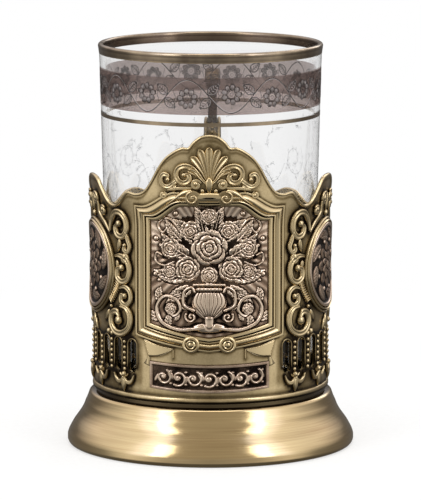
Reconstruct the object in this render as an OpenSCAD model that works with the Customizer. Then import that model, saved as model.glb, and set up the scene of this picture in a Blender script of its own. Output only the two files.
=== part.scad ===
// Tea glass holder with its glass. Millimetres, +Z up, origin on the axis at the foot's resting plane.
// The front plaque faces -Y, the handle stands at the back, +Y. Angles go from the front towards +X.

/* [Shell] */
// Outer radius of the shell wall
shell_r = 36.6; // [30:0.1:45]
// Thickness of the shell wall
wall = 0.9; // [0.6:0.1:1.4]
// Height of the shell's bottom edge above the table
shell_z = 18.2; // [15:0.1:25]
// How far the wall leans outward at its top
flare = 1.0; // [0.4:0.1:1.6]
// Height above the shell's bottom edge at which the wall begins to lean outward
flare_start = 54; // [44:1:58]
// Height over which the wall leans outward
flare_rise = 12; // [8:1:16]
// Height from the shell's bottom edge to the top of the front crest
crest_h = 83.5; // [75:0.5:95]
// Height from the shell's bottom edge to the valleys beside the front crest
valley_h = 60.1; // [57:0.1:66]
// Height of the side crests above the valleys
side_crest_h = 7.9; // [4:0.1:10]
// Depth of the back edge below the valleys
back_dip = 6.2; // [3:0.1:9]
// Height of the rounded bead along the crest
rim_h = 1.0; // [0.7:0.1:1.5]
// How far the crest bead stands out from the wall
rim_out = 0.45; // [0.2:0.05:0.8]

/* [Slots] */
// Number of slots on each side
slots = 8; // [5:1:8]
// Angle between slots
slot_pitch = 10; // [8:1:10]
// Width of a slot
slot_w = 3.2; // [2:0.1:3.6]
// Height of a slot, ends included
slot_h = 10.2; // [7:0.1:12]
// Height of the slots' lower ends above the shell's bottom edge
slot_rise = 8.4; // [7.6:0.1:10]
// Beads in each column between slots
beads = 6; // [3:1:7]
// Radius of a bead
bead_r = 0.65; // [0.4:0.05:0.8]

/* [Front plaque] */
// Width of the plaque round the shell
plaque_w = 37; // [30:0.5:38]
// Height of the plaque's straight sides
plaque_side_h = 31.8; // [24:0.1:34]
// Height of the plaque's lower corners above the shell's bottom edge
plaque_rise = 24.8; // [23:0.1:28]
// Rise of the arched top over the upper corners
plaque_arch = 4.9; // [3:0.1:6]
// Drop of the lower edge below the lower corners
plaque_drop = 4.1; // [2:0.1:4.5]
// Thickness of the plaque
plaque_t = 0.8; // [0.5:0.1:1]
// Width of the stepped frame round the plaque
frame_w = 5.8; // [4:0.1:6]
// How far the frame's ridges stand out from the shell
frame_t = 1.5; // [1.2:0.1:2]
// Radius of the volutes at the frame's lower edge
low_volute_r = 2.6; // [2:0.1:3]
// Radius of the volutes at the frame's upper edge
top_volute_r = 1.75; // [1.2:0.05:2.2]

/* [Crest palmette] */
// Height of the palmette
palmette_h = 13; // [9:0.5:14]
// Petals of the palmette
petals = 7; // [5:2:9]
// How far the palmette stands out from the shell
palmette_t = 1.3; // [0.8:0.1:1.8]

/* [Side medallions] */
// Angle from the front to each medallion
side_angle = 75.5; // [70:0.5:80]
// Radius of a medallion plate
medallion_r = 13.4; // [11:0.1:14]
// Height of the medallions' centre above the shell's bottom edge
medallion_rise = 39.5; // [38:0.1:42]
// Thickness of a medallion plate
medallion_t = 1.0; // [0.6:0.1:1.4]
// Width of the ring round a medallion
ring_w = 1.4; // [1:0.1:1.8]
// How far the ring stands out from the shell
ring_t = 1.5; // [1.2:0.1:2]
// How far the scrolls stand out from the shell
scroll_t = 1.0; // [0.6:0.1:1.4]
// Width of a scroll's strand
scroll_w = 1.1; // [0.8:0.1:1.4]

/* [Nameplate] */
// Width of the nameplate round the shell
name_w = 37.6; // [30:0.2:40]
// Height of the nameplate
name_h = 8.4; // [6:0.1:9]
// Height of the nameplate's ends above the shell's bottom edge
name_rise = 4.6; // [3.4:0.1:5]
// How far the lower edge bows below its ends
name_bow = 1.0; // [0:0.1:1.2]
// Thickness of the nameplate
name_t = 0.9; // [0.6:0.1:1.2]
// Width of the nameplate's raised border
name_border = 1.0; // [0.6:0.1:1.4]

/* [Pedestal] */
// Largest radius of the pedestal
foot_r = 45; // [42:0.5:50]
// Height of the pedestal's deck above the table
deck_z = 17; // [14:0.1:17.6]
// Thickness of the pedestal's spun sheet
sheet = 1.2; // [0.8:0.1:1.6]
// How far the seat's edge lies inside the shell's outer side
seat_inset = 0.5; // [0.2:0.1:0.7]
// Radius of the bead round the shell's foot
foot_bead_r = 1.0; // [0.6:0.1:1.2]

/* [Floor and centre screw] */
// Thickness of the floor disc the glass stands on
floor_t = 1.8; // [1.4:0.1:2.4]
// Radius of the centre screw's shank
screw_r = 2.5; // [2:0.1:3]
// Radius of the centre screw's countersunk head
screw_head_r = 5; // [4:0.1:6]
// Thickness of the washer
washer_t = 1; // [0.8:0.1:1.4]
// Thickness of the nut
nut_t = 3.2; // [2.5:0.1:4]
// Width of the nut across its flats
nut_flats = 8; // [7:0.5:10]

/* [Glass] */
// Gap between the shell's inner side and the glass's widest straight part
glass_clear = 1.2; // [1:0.1:2]
// How much smaller the glass's radius is at its foot than at the lustre band
glass_taper = 2.5; // [1:0.1:6]
// How much larger the glass's radius is at its lip than at the lustre band
lip_flare = 0.5; // [0.2:0.1:1]
// Height of the glass
glass_h = 106; // [95:0.5:120]
// Thickness of the glass wall
glass_wall = 1.6; // [1.2:0.1:2.2]
// Thickness of the glass base
glass_base = 4; // [2:0.1:8]
// Thickness of the fired metal coatings
coat = 0.05; // [0.03:0.01:0.1]
// Depth of the gilded rim below the lip
gilt_h = 3.1; // [2:0.1:6]
// Depth of the lustre band's upper edge below the lip
band_drop = 7.5; // [6.5:0.1:10]
// Height of the lustre band
band_h = 11.3; // [6:0.1:14]
// Gap between the lustre band and the gold line
line_gap = 2.4; // [1:0.1:4]
// Height of the gold line
line_h = 1.2; // [0.6:0.1:2]

/* [Handle] */
// How far the handle stands out from the shell
handle_reach = 43; // [36:0.5:50]
// Height of the handle's loop
loop_h = 64; // [56:1:70]
// Height of the handle's lower mount above the shell's bottom edge
loop_rise = 13; // [11:0.5:16]
// Width of the handle's strap
strap_w = 5.8; // [4:0.1:8]
// Thickness of the handle's strap
strap_t = 3.4; // [2.4:0.1:4.5]
// Height of the thumb rest above the loop
thumb_h = 15; // [10:0.5:18]
// Width of the thumb rest's stem
stem_w = 3; // [2:0.1:4]
// Half-height of each mount pad on the shell
pad_h = 6.5; // [5:0.1:8]
// Half-width of each mount pad round the shell
pad_w = 6; // [5:0.1:7]
// Thickness of each mount pad
pad_t = 1.6; // [1.2:0.1:2.4]
// Radius of a handle rivet's shank
rivet_r = 1.1; // [0.8:0.1:1.4]

/* [Plate rivets] */
// Radius of the small rivets behind the plates
pin_r = 0.6; // [0.4:0.05:0.8]
// Height of the rivets' inner heads
head_t = 0.45; // [0.3:0.05:0.5]

/* [Hidden] */
over = 1;
lift = 0.02;
curve_fn = 96;
inner_r = shell_r - wall;
glass_band_r = inner_r - glass_clear;
glass_foot_r = glass_band_r - glass_taper;
glass_lip_r = glass_band_r + lip_flare;
top_z = shell_z + crest_h;
valley_z = shell_z + valley_h;
flare_z = shell_z + flare_start;
floor_z = shell_z + floor_t;
seat_r = shell_r - seat_inset;
far_r = foot_r + handle_reach;

brass = "#b3995c";
dark_brass = "#8c7a4c";
copper = "#b48a74";
gold = "#c9a85e";
lustre = "#7d706e";
steel = "#a9a9a4";
clear = [0.85, 0.92, 0.95, 0.35];

// Smooth curves: a cubic through each point, and the line offset to one side of a path
function cubic(a, b, c, d, t) =
    ((b * 2) + (c - a) * t + (a * 2 - b * 5 + c * 4 - d) * t * t + (b * 3 - a - c * 3 + d) * t * t * t) / 2;
function smooth(points, steps) = [
    for (i = [0:len(points) - 2]) for (k = [0:steps - 1])
        cubic(points[max(i - 1, 0)], points[i], points[i + 1], points[min(i + 2, len(points) - 1)], k / steps),
    points[len(points) - 1]
];
function blend(t) = let(c = min(max(t, 0), 1)) c * c * (3 - 2 * c);
function reversed(list) = [for (i = [len(list) - 1:-1:0]) list[i]];
function along(path, i) = let(d = path[min(i + 1, len(path) - 1)] - path[max(i - 1, 0)]) d / norm(d);
function beside(path, gap) = [for (i = [0:len(path) - 1]) let(t = along(path, i)) path[i] + gap * [-t[1], t[0]]];
function ribbon(path, width) = concat(beside(path, width / 2), reversed(beside(path, -width / 2)));

// The shell's outer radius at a height, and the angle that a length round the shell spans
function shell_at(z) = shell_r + flare * blend((z - flare_z) / flare_rise);
function spanned(u) = u / shell_r * 180 / PI;
function round_shell(angle) = angle * PI / 180 * shell_r;
function on_wall(u, z, out) =
    let(r = shell_at(z) + out, a = spanned(u)) [r * sin(a), -r * cos(a), z];

// Crest outline: [share of the angle to the valley, share of the rise over the valley]
front_shares = [[0, 1], [0.075, 0.98], [0.143, 0.905], [0.185, 0.83], [0.235, 0.83], [0.3, 0.79],
                [0.39, 0.69], [0.46, 0.555], [0.53, 0.37], [0.6, 0.235], [0.68, 0.19], [0.77, 0.205],
                [0.82, 0.165], [0.89, 0.06], [0.95, 0.005], [1, 0]];
side_shares = [[0, 0], [0.16, 0.13], [0.36, 0.48], [0.6, 0.86], [0.8, 0.98], [1, 1]];
back_shares = [[0, 0], [0.14, 0.62], [0.22, 0.72], [0.3, 0.55], [0.38, 0.28], [0.48, 0.22], [0.56, 0.45],
               [0.66, 0.85], [0.8, 1], [1, 1]];
front_end = 54;
side_end = 2 * side_angle - front_end;
steps = 3;
front_line = [for (p = smooth(front_shares, steps)) [p[0] * front_end, valley_z + p[1] * (crest_h - valley_h)]];
side_line = [for (p = smooth(side_shares, steps))
             [front_end + p[0] * (side_angle - front_end), valley_z + p[1] * side_crest_h]];
side_back = [for (p = reversed(side_line)) [2 * side_angle - p[0], p[1]]];
back_line = [for (p = smooth(back_shares, steps))
             [side_end + p[0] * (180 - side_end), valley_z - p[1] * back_dip]];
half_line = concat(front_line, [for (i = [1:len(side_line) - 1]) side_line[i]],
                   [for (i = [1:len(side_back) - 1]) side_back[i]], [for (i = [1:len(back_line) - 1]) back_line[i]]);
function crest_z(angle) = lookup(angle, half_line);

// The wall is cut off below the bead that follows the crest
crest_path = [for (p = half_line) [round_shell(p[0]), p[1]]];
cut_path = beside(crest_path, -rim_h);
cut_line = [for (p = cut_path) [spanned(p[0]), p[1]]];
function cut_z(angle) = lookup(abs(angle) > 180 ? 360 - abs(angle) : abs(angle), cut_line);

// Round the shell: a straight prism along a direction, and a ring between two radii
module facing(angle) rotate([0, 0, angle]) rotate([90, 0, 0]) children();
module front_prism(outline) facing(0) linear_extrude(far_r)
    polygon([for (p = outline) [shell_r * sin(spanned(p[0])), p[1]]]);
module skin(r0, r1) rotate_extrude($fn = curve_fn) polygon(concat(
    [for (z = skin_steps) [shell_at(z) + r1, z]], [for (z = reversed(skin_steps)) [shell_at(z) + r0, z]]));
skin_count = 8;
skin_steps = concat([shell_z, flare_z], [for (i = [1:skin_count]) flare_z + flare_rise * i / skin_count],
                    [top_z + over]);

// Shell wall
sector = 15;
sector_steps = 6;
sector_overlap_share = 1.14;
module crest_cutter(angle) rotate([0, 0, angle]) facing(0) linear_extrude(far_r) polygon(concat(
    [for (k = [0:sector_steps])
        let(a = sector * sector_overlap_share * (k / sector_steps - 1 / 2)) [shell_r * sin(a), cut_z(angle + a)]],
    [for (h = [1, -1]) [h * shell_r * sin(sector * sector_overlap_share / 2), top_z + 2 * over]]));
module slot_cutter(angle) facing(angle) translate([0, shell_z + slot_rise, shell_r / 2]) {
    translate([0, slot_w / 2]) cylinder(r = slot_w / 2, h = shell_r, $fn = curve_fn);
    translate([0, slot_h - slot_w / 2]) cylinder(r = slot_w / 2, h = shell_r, $fn = curve_fn);
    translate([-slot_w / 2, slot_w / 2]) cube([slot_w, slot_h - slot_w, shell_r]);
}
module pin_holes(r) for (p = plate_pins) facing(p[0]) translate([0, p[1], shell_r / 2])
    cylinder(r = r, h = shell_r, $fn = curve_fn);
module shell_wall() color(brass) difference() {
    skin(-wall, 0);
    for (i = [0:360 / sector - 1]) crest_cutter(i * sector);
    for (side = [-1, 1], i = [0:slots - 1])
        slot_cutter(side * (side_angle + (i - (slots - 1) / 2) * slot_pitch));
    pin_holes(pin_r);
    for (z = pad_zs, side = [-1, 1]) rivet_bore(z, side);
}

// Bead along the crest: one closed sweep, flat where it sits on the wall's edge
rim_sides = 6;
rim_seat = 0.09;
full_crest = concat(crest_path, [for (i = [len(crest_path) - 2:-1:1])
    [2 * round_shell(180) - crest_path[i][0], crest_path[i][1]]]);
function wrapped(path, i) = let(n = len(path), a = path[(i + n - 1) % n], b = path[(i + 1) % n],
    turn = 2 * round_shell(180), du = b[0] - a[0], d = [du < 0 ? du + turn : du, b[1] - a[1]]) d / norm(d);
function rim_point(i, k) = let(
    t = wrapped(full_crest, i), p = full_crest[i], a = 180 * k / (rim_sides - 1),
    s = -rim_h * (1 - sin(a)) + rim_seat, out = (rim_out + wall) * (cos(a) + 1) / 2 - wall,
    q = p + s * [-t[1], t[0]]) on_wall(q[0], q[1], out);
module rim_wire() color(brass) closed_sweep(
    [for (i = [0:len(full_crest) - 1]) [for (k = [0:rim_sides - 1]) rim_point(i, k)]]);
module closed_sweep(rings) {
    n = len(rings);
    m = len(rings[0]);
    polyhedron([for (r = rings) each r], [for (i = [0:n - 1], k = [0:m - 1], half = [0, 1])
        let(a = i * m + k, b = i * m + (k + 1) % m, c = (i + 1) % n * m + k, d = (i + 1) % n * m + (k + 1) % m)
        half == 0 ? [a, b, d] : [a, d, c]]);
}
module open_sweep(rings) {
    n = len(rings);
    m = len(rings[0]);
    polyhedron([for (r = rings) each r], concat([[for (k = [m - 1:-1:0]) k]], [[for (k = [0:m - 1])
        (n - 1) * m + k]], [for (i = [0:n - 2], k = [0:m - 1], half = [0, 1])
        let(a = i * m + k, b = i * m + (k + 1) % m, c = (i + 1) * m + k, d = (i + 1) * m + (k + 1) % m)
        half == 0 ? [a, b, d] : [a, d, c]]));
}

// Strands and balls of the ornament, standing on the wall at [length round the shell, height]
strand_sides = 5;
function strand_rings(path, width, height) = [for (i = [0:len(path) - 1])
    let(t = along(path, i), end = min(i, len(path) - 1 - i) == 0 ? 1 / 2 : 1)
    [for (k = [0:strand_sides - 1]) let(a = 180 * k / (strand_sides - 1),
        q = path[i] - width / 2 * end * cos(a) * [-t[1], t[0]])
        on_wall(q[0], q[1], lift + height * end * sin(a))]];
module strand(path, width, height) open_sweep(strand_rings(path, width, height));
scroll_points = 14;
function spiral(at, r, turns, start, hand) = [for (i = [0:scroll_points - 1])
    let(t = i / (scroll_points - 1), a = start + hand * 360 * turns * t, q = r * (1 - 0.62 * blend(t)))
    at + q * [cos(a), sin(a)]];
module scroll(at, r, turns, start, hand, width, height) {
    path = spiral(at, r - width / 2, turns, start, hand);
    strand(path, width, height);
    ball(path[len(path) - 1], width * 0.8, height);
}
ball_fn = 10;
module standing(u, z, reach = 0) rotate([0, 0, spanned(u)]) translate([0, -shell_at(z + reach) - lift, z])
    rotate([90, 0, 0]) children();
module ball(at, r, height) standing(at[0], at[1], r) hull() {
    linear_extrude(height / 4) circle(r, $fn = ball_fn);
    translate([0, 0, height / 2]) scale([0.72, 0.72, height / 2 / r]) sphere(r, $fn = ball_fn);
}
module leaf(at, length, width, height, angle) standing(at[0], at[1]) rotate([0, 0, angle]) hull() {
    linear_extrude(height / 3) circle(width / 6, $fn = ball_fn);
    translate([0, length - width / 2]) linear_extrude(height / 3) circle(width / 2, $fn = ball_fn);
    translate([0, length - width / 2, height / 2]) scale([0.7, 0.7, height / 2 / (width / 2)])
        sphere(width / 2, $fn = ball_fn);
}

// Front plaque and its frame: outlines in [length round the shell, height]
arch_flat_share = 0.9;
arch_top_share = 0.42;
outline_steps = 14;
function arch(half, side_z, rise, flat_share, top_share) = [for (i = [-outline_steps:outline_steps])
    let(x = i / outline_steps) [half * x,
        side_z + rise * blend((flat_share - abs(x)) / (flat_share - top_share))]];
function bowl(half, side_z, drop) = [for (i = [outline_steps:-1:-outline_steps])
    let(x = i / outline_steps) [half * x, side_z - drop * (1 - abs(x)) * (1 + abs(x) * 0.35)]];
plaque_low = shell_z + plaque_rise;
plaque_high = plaque_low + plaque_side_h;
function plaque_outline(grow, grow_z) = concat(
    arch(plaque_w / 2 + grow, plaque_high + grow_z, plaque_arch, arch_flat_share, arch_top_share),
    bowl(plaque_w / 2 + grow, plaque_low - grow_z, plaque_drop));
frame_z_share = 0.75;
module plaque_shape(grow) front_prism(plaque_outline(grow, grow * frame_z_share));
module plaque() color(copper) intersection() {
    skin(0, plaque_t);
    plaque_shape(0);
}
// Ridges of the frame: [share of its width at the inner edge, at the outer edge, share of its height]
ridge_shares = [[0, 0.16, 0.8], [0.24, 0.62, 1], [0.7, 1, 0.4]];
low_volute_share = 0.148;
top_volute_share = 0.128;
low_volute_at = [plaque_w * low_volute_share, plaque_low - plaque_drop - low_volute_r * frame_z_share];
top_volute_at = [plaque_w * top_volute_share, plaque_high + plaque_arch + top_volute_r * 1.5];
module volute(at, r, height) {
    standing(at[0], at[1]) difference() {
        translate([0, 0, -wall]) cylinder(r = r, h = height + wall, $fn = curve_fn);
        translate([0, 0, height * 0.75]) cylinder(r = r * 0.75, h = height, $fn = curve_fn);
    }
    standing(at[0], at[1]) translate([0, 0, -wall]) cylinder(r = r * 0.45, h = height + wall, $fn = curve_fn);
}
module front_frame() color(brass) difference() {
    union() {
        intersection() {
            skin(0, frame_t * ridge_shares[2][2]);
            difference() {
                plaque_shape(frame_w);
                plaque_shape(0);
            }
        }
        for (s = [0, 1]) intersection() {
            skin(frame_t * ridge_shares[2][2] - lift, frame_t * ridge_shares[s][2]);
            difference() {
                plaque_shape(frame_w * ridge_shares[s][1]);
                plaque_shape(frame_w * ridge_shares[s][0]);
            }
        }
        for (side = [-1, 1]) {
            volute([side * low_volute_at[0], low_volute_at[1]], low_volute_r, frame_t * 1.3);
            volute([side * top_volute_at[0], top_volute_at[1]], top_volute_r, frame_t * 1.3);
        }
    }
    skin(-2 * wall, 0);
    intersection() {
        skin(-wall, plaque_t);
        plaque_shape(0);
    }
}

// Palmette and scrolls over the front frame
palm_base = [0, plaque_high + plaque_arch + frame_w * frame_z_share + palmette_t / 2];
petal_spread = 21;
petal_root_share = 0.24;
petal_fan_share = 0.3;
// Shares of the palmette's height: a petal's length, what it loses at a right angle, its width
petal_shares = [0.72, 0.198, 0.169];
// Each: [share of the palmette's height round the shell, share up, share of radius, turns, start angle, strand share]
palm_scroll_shares = [[0.5, 0.36, 0.23, 1.1, 130, 1], [0.3, 0.14, 0.13, 1.1, 200, 0.8],
                      [0.9, 0.16, 0.2, 1.15, 210, 1], [1.16, -0.1, 0.12, 1.0, 60, 0.8]];
module crest_palmette() color(brass) {
    for (i = [0:petals - 1]) let(a = (i - (petals - 1) / 2) * petal_spread)
        leaf(palm_base + palmette_h * petal_root_share * [sin(-a) * petal_fan_share, 1],
             palmette_h * (petal_shares[0] - abs(a) / 90 * petal_shares[1]), palmette_h * petal_shares[2],
             palmette_t, -a);
    leaf(palm_base + [0, palmette_h * 0.22], palmette_h * 0.26, palmette_h * 0.15, palmette_t, 180);
    for (side = [-1, 1], s = palm_scroll_shares)
        scroll(palm_base + palmette_h * [side * s[0], s[1]], palmette_h * s[2], s[3],
               side > 0 ? 180 - s[4] : s[4], side > 0 ? -1 : 1, scroll_w * s[5], palmette_t * 0.8);
}

// Scroll columns beside each medallion and the scrolls over it. Each place is [share of the medallion's
// radius round the shell from its centre, share up from its centre], then radius share, turns, start, hand
column_scroll_shares = [[-1.39, 0.04, 0.26, 1.2, 120, -1], [-1.44, -0.58, 0.18, 1.1, 150, -1],
                        [-1.25, -1.1, 0.33, 1.2, 150, -1]];
column_ball_shares = [[-1.39, 0, 0.07], [-1.2, -1.14, 0.09], [-0.9, -1.41, 0.07]];
// The same above the medallion's centre, with the heights, radii and strands as shares of the room up to the
// valley; the strand's width is the last share
upper_scroll_shares = [[-1.22, 0.696, 0.182, 1.3, 250, -1, 0.053], [-1.49, 0.423, 0.085, 1.0, 90, 1, 0.038]];
upper_ball_shares = [[-1.22, 0.67, 0.049]];
// The same over the ring, with the heights and radii as shares of the room up to the side crest
over_scroll_shares = [[-0.58, 0.221, 0.119, 1.0, 20, -1, 0.055], [-0.2, 0.378, 0.169, 1.1, 110, 1, 0.075]];
medallion_z = shell_z + medallion_rise;
ring_gap = 0.2;
ring_top = medallion_z + medallion_r + ring_gap + ring_w;
upper_room = valley_z - medallion_z;
over_room = valley_z + side_crest_h - ring_top;
bar_shares = [[-1.27, -0.25], [-1.01, -0.73]];
module side_scroll(h, at, m, up, across, s, width) scroll(at + [h * m * s[0], up * s[1]], across * s[2], s[3],
    h > 0 ? s[4] : 180 - s[4], h * s[5], width, scroll_t);
module side_scrolls(side) color(brass) let(at = [side * round_shell(side_angle), medallion_z], m = medallion_r) {
    for (h = [-1, 1]) {
        for (s = column_scroll_shares) side_scroll(h, at, m, m, m, s, scroll_w);
        for (s = upper_scroll_shares)
            side_scroll(h, at, m, upper_room, upper_room, s, upper_room * s[6]);
        for (s = over_scroll_shares)
            side_scroll(h, [at[0], ring_top], m, over_room, over_room, s, over_room * s[6]);
        for (s = column_ball_shares) ball(at + m * [h * s[0], s[1]], m * s[2], scroll_t);
        for (s = upper_ball_shares) ball(at + [h * m * s[0], upper_room * s[1]], upper_room * s[2], scroll_t);
        strand(smooth([for (s = bar_shares) at + m * [h * s[0], s[1]]], 3), scroll_w * 1.6, scroll_t * 0.7);
        leaf(at + m * [h * 0.07, -1.36], m * 0.22, m * 0.12, scroll_t, 180 + h * 40);
    }
    leaf(at + m * [0, -1.2], m * 0.33, m * 0.2, scroll_t, 180);
}
module side_scrolls_left() side_scrolls(-1);
module side_scrolls_right() side_scrolls(1);

// Side medallions and their rings
module round_plate(side, r0, r1, z0, z1) intersection() {
    skin(z0, z1);
    facing(side * side_angle) translate([0, medallion_z, shell_r / 2]) difference() {
        cylinder(r = r1, h = shell_r, $fn = curve_fn);
        if (r0 > 0) translate([0, 0, -over]) cylinder(r = r0, h = shell_r + 2 * over, $fn = curve_fn);
    }
}
module medallion(side) color(copper) {
    round_plate(side, 0, medallion_r, 0, medallion_t);
    round_plate(side, medallion_r * 0.86, medallion_r * 0.94, medallion_t - lift, medallion_t * 1.4);
}
module medallion_left() medallion(-1);
module medallion_right() medallion(1);
module medallion_ring(side) color(brass) round_plate(side, medallion_r + ring_gap, medallion_r + ring_gap + ring_w,
                                                     0, ring_t);
module medallion_ring_left() medallion_ring(-1);
module medallion_ring_right() medallion_ring(1);

// Beads between the slots and the fleurs under every second column
module bead_columns() color(brass) for (side = [-1, 1], i = [0:slots - 2], k = [0:beads - 1])
    let(z = shell_z + slot_rise + slot_h * (k + 0.5) / beads)
    facing(side * (side_angle + (i - (slots - 2) / 2) * slot_pitch)) translate([0, z, shell_r])
    rotate_extrude($fn = curve_fn) intersection() {
        circle(bead_r, $fn = curve_fn);
        square(bead_r);
    }
fleur_h = 4;
fleur_z = shell_z + slot_rise - bead_r;
module fleurs() color(brass) for (side = [-1, 1], i = [0:2:slots - 2])
    let(at = [side * round_shell(side_angle + (i - (slots - 2) / 2) * slot_pitch), fleur_z]) {
        leaf(at, fleur_h, fleur_h * 0.45, scroll_t, 180);
        for (h = [-1, 1]) leaf(at - [0, fleur_h * 0.45], fleur_h * 1.1, fleur_h * 0.36, scroll_t * 0.8, h * 100);
    }

// Bead ring round the shell's bottom edge
module foot_bead() color(brass) rotate_extrude($fn = curve_fn) translate([shell_r, shell_z + foot_bead_r])
    intersection() {
        scale([0.5, 1]) circle(foot_bead_r, $fn = curve_fn);
        translate([0, -foot_bead_r]) square(2 * foot_bead_r);
    }

// Pedestal: shares of [the spread from the seat to the foot, deck height] down its outer side
pedestal_shares = [[0.0393, 1], [0.1506, 0.985], [0.2163, 0.955], [0.2567, 0.9], [0.3124, 0.823],
                   [0.373, 0.753], [0.4287, 0.676], [0.5045, 0.6], [0.5904, 0.529], [0.6966, 0.453],
                   [0.7978, 0.376], [0.8787, 0.3], [0.9545, 0.224], [1, 0.147], [1, 0.076],
                   [0.9444, 0.02], [0.8534, 0]];
pedestal_line = [for (p = pedestal_shares) [seat_r + p[0] * (foot_r - seat_r), p[1] * deck_z]];
inside_shares = [1.1, 0.35];
pedestal_inside = concat([for (i = [1:len(pedestal_line) - 3]) let(p = pedestal_line[i])
    [p[0] - sheet * inside_shares[0], min(p[1] - sheet * inside_shares[1], deck_z - sheet)]],
    [[pedestal_line[len(pedestal_line) - 1][0] - sheet, 0]]);
seat_w = 3;
module pedestal() color(brass) difference() {
    rotate_extrude($fn = curve_fn) polygon(concat(
        [[0, deck_z], [seat_r - seat_w, deck_z], [seat_r - seat_w, shell_z], [seat_r, shell_z], [seat_r, deck_z]],
        pedestal_line, reversed(pedestal_inside), [[0, deck_z - sheet]]));
    translate([0, 0, deck_z - sheet - over]) cylinder(r = screw_r, h = sheet + 2 * over, $fn = curve_fn);
}
// Floor disc with the raised middle's spacer that reaches the deck, and the screw that clamps it
boss_r = 9;
head_h = floor_t * 0.8;
module screw_shape() {
    translate([0, 0, floor_z - head_h]) cylinder(r1 = screw_r, r2 = screw_head_r, h = head_h, $fn = curve_fn);
    translate([0, 0, screw_end]) cylinder(r = screw_r, h = floor_z - head_h - screw_end, $fn = curve_fn);
}
screw_end = deck_z - sheet - washer_t - nut_t - 1.5 * washer_t;
module floor_disc() color(dark_brass) difference() {
    union() {
        translate([0, 0, shell_z]) cylinder(r = inner_r, h = floor_t, $fn = curve_fn);
        translate([0, 0, deck_z]) cylinder(r = boss_r, h = shell_z - deck_z + floor_t / 2, $fn = curve_fn);
    }
    translate([0, 0, floor_z - head_h]) cylinder(r1 = screw_r, r2 = screw_head_r, h = head_h, $fn = curve_fn);
    translate([0, 0, floor_z]) cylinder(r = screw_head_r, h = over, $fn = curve_fn);
    translate([0, 0, deck_z - over]) cylinder(r = screw_r, h = floor_t + over + shell_z - deck_z, $fn = curve_fn);
}
module centre_screw() color(steel) screw_shape();
module washer() color(steel) translate([0, 0, deck_z - sheet - washer_t]) difference() {
    cylinder(r = 2.4 * screw_r, h = washer_t, $fn = curve_fn);
    translate([0, 0, -over]) cylinder(r = screw_r, h = washer_t + 2 * over, $fn = curve_fn);
}
module nut() color(steel) translate([0, 0, deck_z - sheet - washer_t - nut_t]) difference() {
    cylinder(r = nut_flats / 2 / cos(30), h = nut_t, $fn = 6);
    translate([0, 0, -over]) cylinder(r = screw_r, h = nut_t + 2 * over, $fn = curve_fn);
}

// Small rivets behind the plates: [angle, height]
pin_inset_share = 0.78;
plaque_pins = [for (s = [-1, 1], z = [plaque_low + 3 * pin_r, plaque_high - 3 * pin_r])
    [s * spanned(plaque_w / 2 * pin_inset_share), z]];
medallion_pins = [for (s = [-1, 1], h = [-1, 1])
    [s * side_angle, medallion_z + h * medallion_r * pin_inset_share]];
name_z = shell_z + name_rise;
name_pins = [for (s = [-1, 1]) [s * spanned(name_w / 2 * pin_inset_share), name_z + name_h / 2]];
plate_pins = concat(plaque_pins, medallion_pins, name_pins);
// The inner head's flat face stops where its edge meets the round wall
function head_seat(r) = sqrt(pow(inner_r, 2) - pow(r, 2));
module rivets(places) color(dark_brass) for (p = places) facing(p[0]) translate([0, p[1], inner_r - head_t]) {
    cylinder(r = pin_r, h = wall + head_t - lift, $fn = curve_fn);
    cylinder(r = 2 * pin_r, h = head_seat(2 * pin_r) - inner_r + head_t, $fn = curve_fn);
}
module plaque_rivets() rivets(plaque_pins);
module medallion_rivets() rivets(medallion_pins);
module nameplate_rivets() rivets(name_pins);

// Nameplate with a raised border round a sunk field, and its folded ribbon ends
function name_outline(inset) = concat(
    [for (i = [-outline_steps:outline_steps]) let(x = i / outline_steps)
        [(name_w / 2 - inset) * x, name_z + name_h - inset - name_bow * 0.6 * (1 - x * x)]],
    [for (i = [outline_steps:-1:-outline_steps]) let(x = i / outline_steps)
        [(name_w / 2 - inset) * x, name_z + inset - name_bow * (1 - x * x)]]);
module nameplate() color(copper) difference() {
    intersection() {
        skin(0, name_t);
        front_prism(name_outline(0));
    }
    intersection() {
        skin(name_t * 0.5, name_t + over);
        front_prism(name_outline(name_border));
    }
}
tail_w = 6;
// One ribbon end: shares of [its width out from the nameplate's end, its height up from the nameplate's foot]
tail_shares = [[-0.2, 0.45], [0.05, 0.35], [0.42, 0.9], [0.12, 1.1], [0.55, 1.75], [-0.2, 1.42], [-1.35, 0.99],
               [-1.35, 1.25], [-1.6, 1.05], [-2, 0.99]];
module nameplate_ribbon() color(brass) difference() {
    intersection() {
        skin(0, name_t * 0.45);
        union() for (s = [-1, 1]) front_prism([for (p = tail_shares)
            [s * (name_w / 2 + tail_w * p[0]), name_z + name_h * p[1]]]);
    }
    front_prism(name_outline(0));
    intersection() {
        skin(-wall, frame_t * 2);
        plaque_shape(frame_w);
    }
}

// Handle: loop and thumb rest in the plane x = 0, as shares of its reach and of the loop's height
mount_share = 0.5;
loop_shares = [[-0.01, mount_share], [0.1, mount_share + 0.015], [0.21, 0.6], [0.34, 0.79], [0.52, 0.945],
               [0.74, 0.96], [0.9, 0.84], [0.96, 0.64], [0.9, 0.42], [0.72, 0.23], [0.49, 0.11], [0.26, 0.05],
               [0.1, 0.04], [-0.01, 0.04]];
stem_shares = [[0.5, 0.93], [0.6, 1.0], [0.67, 1.07], [0.69, 1.14], [0.66, 1.216]];
curl_shares = [[0.78, 1.19], [0.71, 1.22], [0.62, 1.215], [0.575, 1.18], [0.6, 1.14]];
loop_low = shell_z + loop_rise;
function handle_line(shares, stretch) = smooth([for (p = shares)
    [shell_r + handle_reach * p[0], loop_low + loop_h * (p[1] <= 1 ? p[1] : 1) + max(p[1] - 1, 0) * stretch]], 5);
thumb_stretch = thumb_h / 0.22;
pad_zs = [loop_low + 0.04 * loop_h, loop_low + mount_share * loop_h];
rivet_gap_share = 0.66;
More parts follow.
